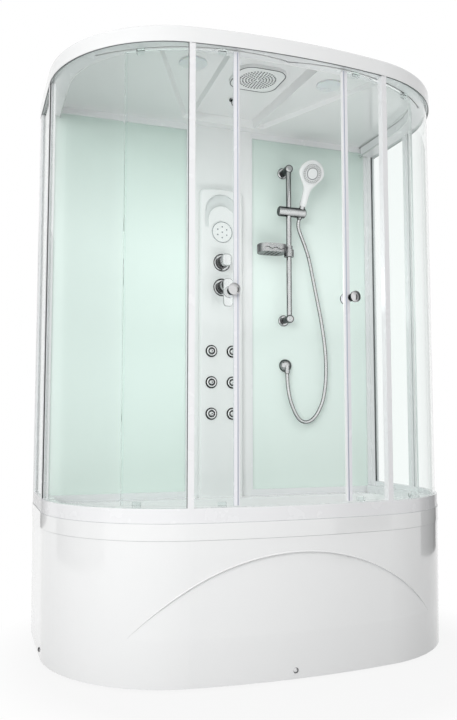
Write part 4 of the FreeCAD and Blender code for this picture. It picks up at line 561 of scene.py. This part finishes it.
def hose_line():
    """The points of a smooth curve along the route."""
    curve = bpy.data.curves.new("hose route", "CURVE")
    curve.dimensions = "3D"
    curve.resolution_u = 16
    spline = curve.splines.new("NURBS")
    spline.points.add(len(HOSE_POINTS) - 1)
    for point, place in zip(spline.points, HOSE_POINTS):
        point.co = (*place, 1.0)
    spline.order_u = 3
    spline.use_endpoint_u = True
    holder = bpy.data.objects.new("hose route", curve)
    scene.collection.objects.link(holder)
    bpy.context.view_layer.update()
    drawn = holder.evaluated_get(bpy.context.evaluated_depsgraph_get())
    line = bpy.data.meshes.new_from_object(drawn)
    points = [vertex.co.copy() for vertex in line.vertices]
    bpy.data.objects.remove(holder)
    bpy.data.meshes.remove(line)
    return points


def tube(name, points, radius, material, sides=20):
    """A round tube along a line of points, with its length as one texture coordinate."""
    mesh = bpy.data.meshes.new(name)
    grid = bmesh.new()
    rows = skin(grid, rings_along(points, [radius] * len(points), sides))
    layer = grid.loops.layers.uv.new("along")
    place = {}
    for number, ring in enumerate(rows):
        run = line_length(points[: number + 1]) * RIDGES_PER_METRE
        for step, vertex in enumerate(ring):
            place[vertex] = (step / sides, run)
    for face in grid.faces:
        for loop in face.loops:
            loop[layer].uv = place[loop.vert]
        face.smooth = True
    bmesh.ops.recalc_face_normals(grid, faces=grid.faces)
    grid.to_mesh(mesh)
    grid.free()
    made = bpy.data.objects.new(name, mesh)
    scene.collection.objects.link(made)
    mesh.materials.append(material)
    return made


route = hose_line()
split = next(number for number in range(len(route)) if line_length(route[: number + 1]) > UPPER_LENGTH)
upper_line = route[: split + 1]
lower_line = route[split:]
upper_hose = tube("upper_shower_hose", upper_line, HOSE_RADIUS, hose_metal)
lower_hose = tube("lower_shower_hose", lower_line, HOSE_RADIUS, hose_metal)
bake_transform(upper_hose)
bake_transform(lower_hose)
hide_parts("shower_hose")


# Handset: one flowing white body, with its spray face

CRADLE = Vector((0.352, 0.320, 1.707))
NOD, LEAN = math.radians(22), math.radians(8)
UP_HANDLE = Vector((math.cos(NOD) * math.sin(LEAN), -math.sin(NOD), math.cos(NOD) * math.cos(LEAN)))
OUT_FACE = Vector((-math.sin(NOD) * math.sin(LEAN), -math.cos(NOD), -math.sin(NOD) * math.cos(LEAN)))
SIDEWAYS = UP_HANDLE.cross(OUT_FACE)
HEAD_REACH = 0.173
HEAD = CRADLE + UP_HANDLE * HEAD_REACH

# Sections up the handle and over the head: distance, half width, front and back half depth, in millimetres
HANDSET_SECTIONS = [
    (30.3, 13.6, 13.6, 13.6), (31.5, 14.6, 14.6, 14.6), (50, 15.0, 14.6, 15.0), (80, 15.2, 14.0, 14.8),
    (98, 16.4, 13.0, 14.2), (112, 20.5, 11.8, 13.4), (124, 28.0, 11.4, 12.6), (134, 36.0, 11.4, 12.2),
    (146, 45.5, 11.7, 12.0), (158, 53.0, 11.9, 11.8), (168, 56.8, 12.0, 11.6), (176, 57.6, 12.0, 11.4),
    (186, 56.2, 11.9, 11.2), (197, 51.8, 11.8, 10.8), (208, 44.6, 11.4, 10.2), (217, 35.4, 10.8, 9.4),
    (224, 24.6, 9.6, 8.2), (228.6, 13.0, 7.6, 6.4), (230.4, 4.5, 4.0, 3.2),
]
HANDSET_SIDES = 48
# Half width from which a section is at its squarest, in millimetres
FLAT_WIDTH = 36.0
MM_PER_METRE = 1000


def squared(value, power):
    """A sine or cosine raised to a power, with its sign kept, which makes a round section squarer."""
    return math.copysign(abs(value) ** power, value)


def handset_form(grid):
    """Sections that are nearly round in the handle and squarer in the head."""
    rings = []
    for along, width, front, back in HANDSET_SECTIONS:
        flat = 0.5 + 0.5 * min(width / FLAT_WIDTH, 1.0)
        ring = []
        for step in range(HANDSET_SIDES):
            turn = math.tau * step / HANDSET_SIDES
            depth = front if math.sin(turn) > 0 else back
            x = squared(math.cos(turn), 1.0 / (0.6 + 0.64 * flat)) * width
            y = squared(math.sin(turn), 1.0 / (0.5 + flat)) * depth
            ring.append(CRADLE + (UP_HANDLE * along + SIDEWAYS * x + OUT_FACE * y) / MM_PER_METRE)
        rings.append(ring)
    skin(grid, rings)


def spray_plate(grid):
    """Spray plate: raised rim, a shallow land for the nozzles and a low middle cap."""
    outline = [(0.0462, 0.0082), (0.0469, 0.0115), (0.0458, 0.0127), (0.0440, 0.0129), (0.0432, 0.0122)]
    outline += [(0.0262, 0.0122), (0.0255, 0.0130), (0.0220, 0.0134), (0.0005, 0.0138)]
    turned(grid, outline, HEAD, OUT_FACE, SIDEWAYS, 64)


SPRAY_LINE = flat_ring((0.0226, 0.0256), (0.0122, 0.0136))
SPRAY_ROWS = ((0.0320, 24), (0.0385, 32))
SPRAY_LAND = 0.0120
SPRAY_DOT = (0.0024, 0.0018)


def spray_places():
    """Places of the nozzles: rows given by radius and count."""
    for radius, count in SPRAY_ROWS:
        yield from circle(HEAD + OUT_FACE * SPRAY_LAND, OUT_FACE, SIDEWAYS, radius, count)


piece("handset_shell", handset_form, white_plastic, "cradle", ("handset_body",))
piece("spray_plate", spray_plate, pale_spray, "spray_face", ("handset_face",))
piece(
    "spray_ring", lambda grid: band(grid, SPRAY_LINE, HEAD, OUT_FACE, SIDEWAYS, 72),
    dark_gasket_and_painted_shade, "spray_face",
)
piece(
    "spray_nozzles", lambda grid: dots(grid, spray_places(), OUT_FACE, SIDEWAYS, SPRAY_DOT, 10),
    nozzle_rubber, "spray_face",
)


# Marks of the keypad

KEYPAD = Vector((0, 0.3455, 1.599))
KEYPAD_LINE = flat_ring((0.0425, 0.0447), (-0.0002, 0.0005))
KEY_COUNT = 6
KEY_CIRCLE = 0.023
KEY_DOT = (0.0032, 0.0005)


def keypad_places():
    """The middle key and a circle of keys, with one straight above it and one straight below."""
    yield KEYPAD
    for step in range(KEY_COUNT):
        turn = math.tau * (step + 0.5) / KEY_COUNT
        yield KEYPAD + (TO_RIGHT * math.cos(turn) + TO_TOP * math.sin(turn)) * KEY_CIRCLE


piece(
    "keypad_rim", lambda grid: band(grid, KEYPAD_LINE, KEYPAD, TO_FRONT, TO_RIGHT, 72),
    grey_mark, "cabin",
)
piece(
    "keypad_marks", lambda grid: dots(grid, keypad_places(), TO_FRONT, TO_RIGHT, KEY_DOT, 16),
    grey_mark, "cabin",
)


# Nozzles and rim of the rain head

RAIN = Vector((0, -0.061, 2.082))
RAIN_ROWS = 6
MORE_PER_ROW = 6
RAIN_PITCH = 0.0112
RAIN_DOT = (0.0035, 0.0016)
RAIN_LINE_TOP, RAIN_LINE_FOOT = 2.0822, 2.0814


def rain_places():
    """Round rows of nozzles, with every other row turned by half a step."""
    for row in range(1, RAIN_ROWS + 1):
        count = MORE_PER_ROW * row
        for step in range(count):
            turn = math.tau * (step + 0.5 * (row % 2)) / count
            yield RAIN + (TO_RIGHT * math.cos(turn) + TO_REAR * math.sin(turn)) * RAIN_PITCH * row


def rounded_square(centre, half, bend, height, steps=10):
    """Points round a square with rounded corners."""
    points = []
    for quarter, (side, end) in enumerate(((1, 1), (-1, 1), (-1, -1), (1, -1))):
        for step in range(steps + 1):
            turn = math.tau * (quarter + step / steps) / 4
            x = centre.x + side * (half - bend) + math.cos(turn) * bend
            y = centre.y + end * (half - bend) + math.sin(turn) * bend
            points.append(Vector((x, y, height)))
    return points


def rain_outline(grid):
    """Dark line round the plate of the rain head, a little inside its edge."""
    outer = (0.0940, 0.0545)
    inner = (0.0902, 0.0507)
    top, foot = RAIN_LINE_TOP, RAIN_LINE_FOOT
    levels = [(outer, top), (outer, foot), (inner, foot), (inner, top), (outer, top)]
    skin(grid, [rounded_square(RAIN, half, bend, height) for (half, bend), height in levels], caps=False)
    bmesh.ops.remove_doubles(grid, verts=grid.verts, dist=WELD)


piece(
    "rain_nozzles", lambda grid: dots(grid, rain_places(), DOWN, TO_RIGHT, RAIN_DOT, 10),
    nozzle_rubber, "cabin",
)
piece("rain_outline", rain_outline, dark_gasket_and_painted_shade, "cabin")


# Outer wall in plan: straight sides, round corners and a bowed front, whose arcs meet at FRONT_TURN

HALF_WIDTH, HALF_DEPTH, _ = cad_box[1]
CORNER_RADIUS, FRONT_RADIUS = 0.465, 2.5
CORNER_X = HALF_WIDTH - CORNER_RADIUS
FRONT_Y = FRONT_RADIUS - HALF_DEPTH
FRONT_TURN = math.asin(CORNER_X / (FRONT_RADIUS - CORNER_RADIUS))
CORNER_Y = FRONT_Y - math.cos(FRONT_TURN) * (FRONT_RADIUS - CORNER_RADIUS)
REAR_END = 0.396
FRAME_FRONT = 0.3755


def right_wall(inset, end, corner_steps=24, front_steps=12):
    """Plan points of the right half of the wall, from the middle of the front to the rear."""
    points = []
    for step in range(front_steps):
        turn = FRONT_TURN * step / front_steps
        reach = FRONT_RADIUS - inset
        points.append((math.sin(turn) * reach, FRONT_Y - math.cos(turn) * reach))
    for step in range(corner_steps + 1):
        turn = FRONT_TURN + (math.pi / 2 - FRONT_TURN) * step / corner_steps
        reach = CORNER_RADIUS - inset
        points.append((CORNER_X + math.sin(turn) * reach, CORNER_Y - math.cos(turn) * reach))
    points.append((HALF_WIDTH - inset, end))
    return points


def wall_point(x, inset, height):
    """The point of the front or corner wall at a distance across."""
    side = abs(x)
    reach = FRONT_RADIUS - inset
    if side <= math.sin(FRONT_TURN) * reach:
        y = FRONT_Y - math.sqrt(reach**2 - side**2)
    else:
        y = CORNER_Y - math.sqrt((CORNER_RADIUS - inset) ** 2 - (side - CORNER_X) ** 2)
    return Vector((x, y, height))


def seam(height, radius, inset=0.002, end=REAR_END):
    """A fine bead round the whole wall, from the left rear to the right rear."""
    right = right_wall(inset, end)
    left = [(-x, y) for x, y in reversed(right[1:])]
    line = [Vector((x, y, height)) for x, y in left + right]
    return lambda grid: bead(grid, line, [radius] * len(line))


# Grey sealant at the rail and the lip, a dark line at the fascia's foot and a dark groove under the ceiling
# bead: partly real joints, partly painted shade of the gaps between the parts
piece("rail_seam", seam(0.4943, 0.0013), sealant_with_painted_shade, "cabin")
piece("lip_seam", seam(0.4437, 0.0011), sealant_with_painted_shade, "cabin")
piece("fascia_seam", seam(2.0112, 0.0012, 0.0030), dark_gasket_and_painted_shade, "cabin")
piece("ceiling_bead", seam(2.0600, 0.0034, 0.0722, FRAME_FRONT), acrylic, "cabin")
piece("ceiling_seam", seam(2.0557, 0.0011, 0.0720, FRAME_FRONT), dark_gasket_and_painted_shade, "cabin")
piece("top_rail_bead", seam(2.0172, 0.0030, 0.0715, FRAME_FRONT), acrylic, "cabin")

ARCH_DROP, ARCH_RADIUS = 0.301, 0.697
ARCH_FOOT, ARCH_FULL = 0.150, 0.290
ARCH_STEPS = 60
ARCH_BEAD_END, ARCH_BEAD = 0.0004, 0.0025
ARCH_BEAD_SINK = 0.0004
APRON_FOOT, APRON_HEIGHT = 0.008, 0.436
APRON_FOOT_INSET, APRON_TOP_INSET = 0.006, 0.002


def arch_bead(grid):
    """Rounded bead over the arch of the apron, which dies away towards its feet."""
    points = []
    radii = []
    end = math.acos((ARCH_FOOT + ARCH_DROP) / ARCH_RADIUS)
    for step in range(-ARCH_STEPS, ARCH_STEPS + 1):
        turn = end * step / ARCH_STEPS
        height = math.cos(turn) * ARCH_RADIUS - ARCH_DROP
        share = (height - APRON_FOOT) / APRON_HEIGHT
        inset = APRON_FOOT_INSET + (APRON_TOP_INSET - APRON_FOOT_INSET) * share
        fade = min((height - ARCH_FOOT) / (ARCH_FULL - ARCH_FOOT), 1.0)
        points.append(wall_point(math.sin(turn) * ARCH_RADIUS, inset + ARCH_BEAD_SINK, height))
        radii.append(ARCH_BEAD_END + (ARCH_BEAD - ARCH_BEAD_END) * fade)
    bead(grid, points, radii, 10)


piece("apron_arch_bead", arch_bead, acrylic, "cabin")


# Gaskets of the jambs, posts and doors, and the lips of the roller tracks

JAMB_FOOT, JAMB_TOP = 0.541, 2.0155
# Corners of the jamb's gasket: distance along the wall and inset
JAMB_GASKET = ((-0.0101, 0.0055), (-0.0101, 0.0094), (-0.0118, 0.0094), (-0.0118, 0.0070))


def jamb_gasket(side):
    """Strip in the corner between a jamb and its bent pane."""
    plan = []
    for along, inset in JAMB_GASKET:
        reach = FRONT_RADIUS - inset
        x = math.sin(FRONT_TURN) * reach - math.cos(FRONT_TURN) * along
        y = FRONT_Y - math.cos(FRONT_TURN) * reach - math.sin(FRONT_TURN) * along
        plan.append((side * x, y))
    return lambda grid: upright(grid, plan, JAMB_FOOT, JAMB_TOP)


TRACK_X, TRACK_Y = 0.148, 0.323


def track_point(side, reach, turn):
    """Plan point at a radius and a turn about the centre of a door's track."""
    return side * (TRACK_X + math.sin(turn) * reach), TRACK_Y - math.cos(turn) * reach


EDGE_FOOT, EDGE_TOP = 0.5435, 2.0075
EDGE_INNER, EDGE_OUTER = 0.6965, 0.6973
EDGE_START, EDGE_SWEEP = math.radians(3.70), math.radians(0.27)
EDGE_STEPS = 4


def edge_line(side):
    """Narrow gasket set in the outer face of a door's leading edge."""
    turns = [EDGE_START + EDGE_SWEEP * step / EDGE_STEPS for step in range(EDGE_STEPS + 1)]
    rim = [(EDGE_OUTER, turn) for turn in turns] + [(EDGE_INNER, turn) for turn in reversed(turns)]
    plan = [track_point(side, reach, turn) for reach, turn in rim]
    return lambda grid: upright(grid, plan, EDGE_FOOT, EDGE_TOP)


# Gaskets on the posts: near and far side, front face of the post and top
MID_STRIP = ((0.7430, 0.7476), 0.06806, 2.0105)
REAR_STRIP = ((0.7285, 0.7350), 0.363, JAMB_TOP)
STRIP_RISE = 0.0008


def post_strip(side, place):
    """Flat gasket on the front face of a post."""
    (near, far), front, top = place
    corners = [(near, front - STRIP_RISE), (far, front - STRIP_RISE), (far, front), (near, front)]
    plan = [(side * x, y) for x, y in corners]
    return lambda grid: upright(grid, plan, JAMB_FOOT, top)


LIP_RADII = {"inner": (0.6870, 0.6890), "outer": (0.6930, 0.6950)}
LIP_LEVELS = (2.0160, 2.0172)
LIP_START, LIP_SWEEP = math.radians(-10), math.radians(53)
LIP_STEPS = 48


def track_lip(side, radii):
    """Soft lip along one edge of a roller track's slot."""
    section = flat_ring(radii, LIP_LEVELS)
    rings = []
    for step in range(LIP_STEPS + 1):
        turn = LIP_START + LIP_SWEEP * step / LIP_STEPS
        rings.append([Vector((*track_point(side, reach, turn), height)) for reach, height in section])
    return lambda grid: skin(grid, rings)


for word, side in (("left", -1), ("right", 1)):
    piece(f"mid_post_strip_{word}", post_strip(side, MID_STRIP), dark_gasket_and_painted_shade, "cabin")
    piece(f"rear_post_strip_{word}", post_strip(side, REAR_STRIP), dark_gasket_and_painted_shade, "cabin")
    for edge, radii in LIP_RADII.items():
        piece(f"track_lip_{edge}_{word}", track_lip(side, radii), white_plastic, "cabin")
    piece(f"jamb_gasket_{word}", jamb_gasket(side), dark_gasket_and_painted_shade, "cabin")
    piece(f"door_edge_line_{word}", edge_line(side), blue_gasket, f"{word}_door")


# Column: fluted sleeves of the two valves and painted reflection rims of their rosettes, rings and mouths of
# the jets, beads of the niche

VALVES = {"diverter": 1.469, "mixer": 1.364}
SLEEVE_REAR, SLEEVE_FRONT = 0.3455, 0.3115
SLEEVE_RADIUS = 0.0249
SLEEVE_BEVEL = 0.0012
FLUTES = 36
FLUTE_DEPTH = 0.0006
STEPS_PER_FLUTE = 4


def fluted_sleeve(height):
    """A fluted ring round a valve barrel, bevelled at both ends."""
    levels = [
        (SLEEVE_RADIUS - FLUTE_DEPTH, SLEEVE_REAR), (SLEEVE_RADIUS, SLEEVE_REAR - SLEEVE_BEVEL),
        (SLEEVE_RADIUS, SLEEVE_FRONT + SLEEVE_BEVEL), (SLEEVE_RADIUS - FLUTE_DEPTH, SLEEVE_FRONT),
    ]
    steps = FLUTES * STEPS_PER_FLUTE
    rings = []
    for radius, y in levels:
        ring = []
        for step in range(steps):
            turn = math.tau * step / steps
            reach = radius + FLUTE_DEPTH * math.cos(turn * FLUTES)
            ring.append(Vector((math.cos(turn) * reach, y, height + math.sin(turn) * reach)))
        rings.append(ring)
    return lambda grid: skin(grid, rings)


JET_X = (-0.046, 0.046)
JET_Z = (1.095, 0.9655, 0.836)
JETS = [Vector((x, 0, height)) for height in JET_Z for x in JET_X]
JET_MOUTH_DEPTH = 0.3359
JET_MOUTH_DOT = (0.0034, 0.0004)

# Outlines of the dark rings: radius and distance to the rear
RIM_BAND = [
    (0.02525, 0.3495), (0.02525, 0.3477), (0.0230, 0.3446), (0.0212, 0.3435), (0.0196, 0.3431),
    (0.0196, 0.3441), (0.0212, 0.3445), (0.0226, 0.3455), (0.0248, 0.3485), (0.0248, 0.3495),
]
MOUTH_BAND = [(0.0153, 0.3422), (0.0112, 0.3431), (0.0112, 0.3440), (0.0153, 0.3432)]
# Outline of the rosettes' dark rims, a painted reflection: radius and distance to the rear
ROSETTE_BAND = [
    (0.03725, 0.3496), (0.03725, 0.3477), (0.0345, 0.3460),
    (0.0345, 0.3468), (0.0368, 0.3484), (0.0368, 0.3496),
]


def jet_rings(grid):
    """Dark rings round the rim and the mouth of each jet."""
    for jet in JETS:
        band(grid, RIM_BAND, jet, TO_REAR, TO_RIGHT, 40)
        band(grid, MOUTH_BAND, jet, TO_REAR, TO_RIGHT, 40)


def rosette_painted_reflection_rims(grid):
    """Dark rims of the two valves' rosettes: a painted reflection of dark surroundings at the edges of the
    chrome rosettes.
    """
    for height in VALVES.values():
        band(grid, ROSETTE_BAND, TO_TOP * height, TO_REAR, TO_RIGHT, 72)


# Arches above the keypad: radius and height of the centre over the niche's foot
NICHE_ARCHES = ((0.074, 0.071), (0.058, 0.034))
NICHE_ARCH_STEPS = 40
NICHE_BEAD, NICHE_BEAD_DEPTH = 0.0016, 0.3500


def niche_beads(grid):
    """Rounded edges of the two arches above the keypad."""
    for radius, rise in NICHE_ARCHES:
        line = []
        for step in range(NICHE_ARCH_STEPS + 1):
            turn = math.pi * step / NICHE_ARCH_STEPS
            height = NICHE_FOOT + rise + math.sin(turn) * radius
            line.append(Vector((math.cos(turn) * radius, NICHE_BEAD_DEPTH, height)))
        bead(grid, line, [NICHE_BEAD] * len(line))


for valve, height in VALVES.items():
    piece(f"{valve}_sleeve", fluted_sleeve(height), dark_chrome, "cabin")
piece("jet_rings", jet_rings, dark_chrome, "cabin")
piece("rosette_painted_reflection_rims", rosette_painted_reflection_rims, dark_chrome, "cabin")
piece("niche_beads", niche_beads, acrylic, "cabin")
for number, jet in enumerate(JETS, start=1):
    mouth = [jet + TO_REAR * JET_MOUTH_DEPTH]
    piece(
        f"jet_mouth_{number}", lambda grid: dots(grid, mouth, TO_FRONT, TO_RIGHT, JET_MOUTH_DOT, 20),
        nozzle_rubber, f"jet_{number}",
    )


# Wave on the soap dish

DISH_FRONT, DISH_BEND = 0.278, 0.034
DISH_LEFT, DISH_RIGHT = 0.1535, 0.2755
WAVE_START, WAVE_RUN = 0.170, 0.090
WAVE_LEVEL, WAVE_RISE, WAVE_FALL = 1.5360, 0.0030, 0.004
WAVE_STEPS, STEPS_PER_WAVE, FADE_STEPS = 60, 26, 6
WAVE_END, WAVE_BEAD = 0.0004, 0.0016


def dish_wave(grid):
    """Wavy line along the front of the soap dish, thin at its ends."""
    points = []
    radii = []
    for step in range(WAVE_STEPS + 1):
        share = step / WAVE_STEPS
        x = WAVE_START + WAVE_RUN * share
        over = max(DISH_LEFT + DISH_BEND - x, x - DISH_RIGHT + DISH_BEND, 0)
        y = DISH_FRONT + DISH_BEND - math.sqrt(DISH_BEND**2 - over**2)
        height = WAVE_LEVEL + WAVE_RISE * math.sin(math.tau * step / STEPS_PER_WAVE) - WAVE_FALL * share
        points.append(Vector((x, y, height)))
        fade = min(step, WAVE_STEPS - step, FADE_STEPS) / FADE_STEPS
        radii.append(WAVE_END + (WAVE_BEAD - WAVE_END) * fade)
    bead(grid, points, radii)


piece("dish_wave", dish_wave, dark_chrome, "dish")


# Stage


def plane(name, centre, across, up, material):
    """A flat stage panel given by its centre and two half edges."""
    mesh = bpy.data.meshes.new(name)
    centre, across, up = Vector(centre), Vector(across), Vector(up)
    corners = [centre - across - up, centre + across - up, centre + across + up, centre - across + up]
    mesh.from_pydata([tuple(corner) for corner in corners], [], [(0, 1, 2, 3)])
    made = bpy.data.objects.new(name, mesh)
    scene.collection.objects.link(made)
    mesh.materials.append(material)
    return made


def looked_at(tree):
    """One for rays from the camera, off a gloss or through glass, and zero for the light itself."""
    path = tree.nodes.new("ShaderNodeLightPath").outputs
    first = calculated(tree, "MAXIMUM", path["Is Camera Ray"], path["Is Glossy Ray"])
    return calculated(tree, "MAXIMUM", first, path["Is Transmission Ray"])


# Distances from the middle of the floor at which a change starts and ends
SHADOW_FADE = (0.75, 1.0)
FLOOR_FADE = (0.8, 1.6)
SHADOW_WHITE = 0.90
# Matt grey of the floor: darker near the cabin as painted shade, which takes bounced light off the foot of
# the apron and darkens the floor by its base
NEAR_FLOOR_PAINTED_SHADE, FAR_FLOOR = grey(0.40), grey(0.62)


def floor_white():
    """White studio floor that keeps a faint shadow near the cabin, with painted shade in its matt grey close
    to the cabin.
    """
    material, tree, output = blank("studio floor")
    where = tree.nodes.new("ShaderNodeTexCoord").outputs["Object"]
    away = shader(tree, "ShaderNodeVectorMath", {0: where}, operation="LENGTH").outputs["Value"]
    bright = spread(tree, away, *SHADOW_FADE, first=SHADOW_WHITE)
    share = calculated(tree, "MULTIPLY", looked_at(tree), bright)
    ground = mix_colour(tree, spread(tree, away, *FLOOR_FADE), NEAR_FLOOR_PAINTED_SHADE, FAR_FLOOR)
    matt = shader(tree, "ShaderNodeBsdfDiffuse", {"Color": ground})
    white = shader(tree, "ShaderNodeEmission", {"Color": grey(1), "Strength": 1.0})
    mix = shader(tree, "ShaderNodeMixShader", {0: share, 1: matt.outputs[0], 2: white.outputs[0]})
    tree.links.new(mix.outputs[0], output.inputs["Surface"])
    return material


def card_grey(name, level):
    """Even grey of a card."""
    material, tree, output = blank(name)
    look = shader(tree, "ShaderNodeEmission", {"Color": grey(level), "Strength": 1.0})
    tree.links.new(look.outputs[0], output.inputs["Surface"])
    return material


# Cards that only the gloss shows: centre, half width and grey
CARDS = {
    "right_card": ((2.4, 0.25, 1.3), (0, 0.7, 0), 0.02),
    "left_card": ((-2.3, 0.2, 1.3), (0, 1.0, 0), 0.35),
    "rear_left_card": ((-1.9, 3.2, 1.0), (0.75, 0, 0), 0.30),
    "front_right_card": ((2.2, -2.7, 1.3), (0.55, 0, 0), 0.02),
}
CARD_HALF_HEIGHT = (0, 0, 1.3)
FLOOR_REACH = 40
plane("studio_floor", (0, 0, 0), TO_RIGHT * FLOOR_REACH, TO_REAR * FLOOR_REACH, floor_white())
for name, (centre, across, level) in CARDS.items():
    card = plane(name, centre, across, CARD_HALF_HEIGHT, card_grey(name, level))
    card.visible_camera = False
    card.visible_diffuse = False
    card.visible_shadow = False
    card.visible_transmission = False


def lamp(name, place, target, size, power):
    """A flat lamp that lights the cabin and isn't seen itself."""
    light = bpy.data.lights.new(name, "AREA")
    light.shape = "RECTANGLE"
    light.size, light.size_y = size
    light.energy = power
    made = bpy.data.objects.new(name, light)
    scene.collection.objects.link(made)
    made.location = place
    made.rotation_euler = (Vector(target) - Vector(place)).to_track_quat("-Z", "Y").to_euler()
    made.visible_camera = False
    made.visible_glossy = False
    made.visible_transmission = False


lamp("key", (-2.7, -3.3, 1.9), (0, 0, 1.0), (2.0, 2.0), power=71)
lamp("apron_fill", (-0.8, -2.0, 0.3), (0, -0.4, 0.25), (0.6, 0.3), power=2.2)
lamp("inner_up", (0.2, -0.14, 1.17), (0.2, -0.14, 2.0), (0.8, 0.4), power=2.5)
lamp("inner_down", (0.2, -0.14, 1.34), (0.2, -0.14, 0.5), (0.8, 0.4), power=1.2)

LEFT_SKY, RIGHT_SKY = grey(0.84), grey(0.52)


def studio_world():
    """A sky that looks white, and gives more light from the left than from the right."""
    world = bpy.data.worlds.new("studio")
    world.use_nodes = True
    tree = world.node_tree
    tree.nodes.clear()
    where = tree.nodes.new("ShaderNodeTexCoord").outputs["Generated"]
    across = shader(tree, "ShaderNodeSeparateXYZ", {"Vector": where}).outputs["X"]
    light = mix_colour(tree, spread(tree, across, -1.0, 1.0), LEFT_SKY, RIGHT_SKY)
    sky = mix_colour(tree, looked_at(tree), light, grey(1))
    backdrop = shader(tree, "ShaderNodeBackground", {"Color": sky, "Strength": 1.0})
    output = tree.nodes.new("ShaderNodeOutputWorld")
    tree.links.new(backdrop.outputs[0], output.inputs["Surface"])
    return world


scene.world = studio_world()


# Camera

lens = bpy.data.cameras.new("camera")
lens.lens = 37.445
lens.sensor_width = 36.0
camera = bpy.data.objects.new("camera", lens)
scene.collection.objects.link(camera)
camera.location = (-1.011, -2.587, 0.803)
camera.rotation_euler = (math.radians(94.71), 0, math.radians(-19.51))
scene.camera = camera
scene.view_settings.view_transform = "Standard"
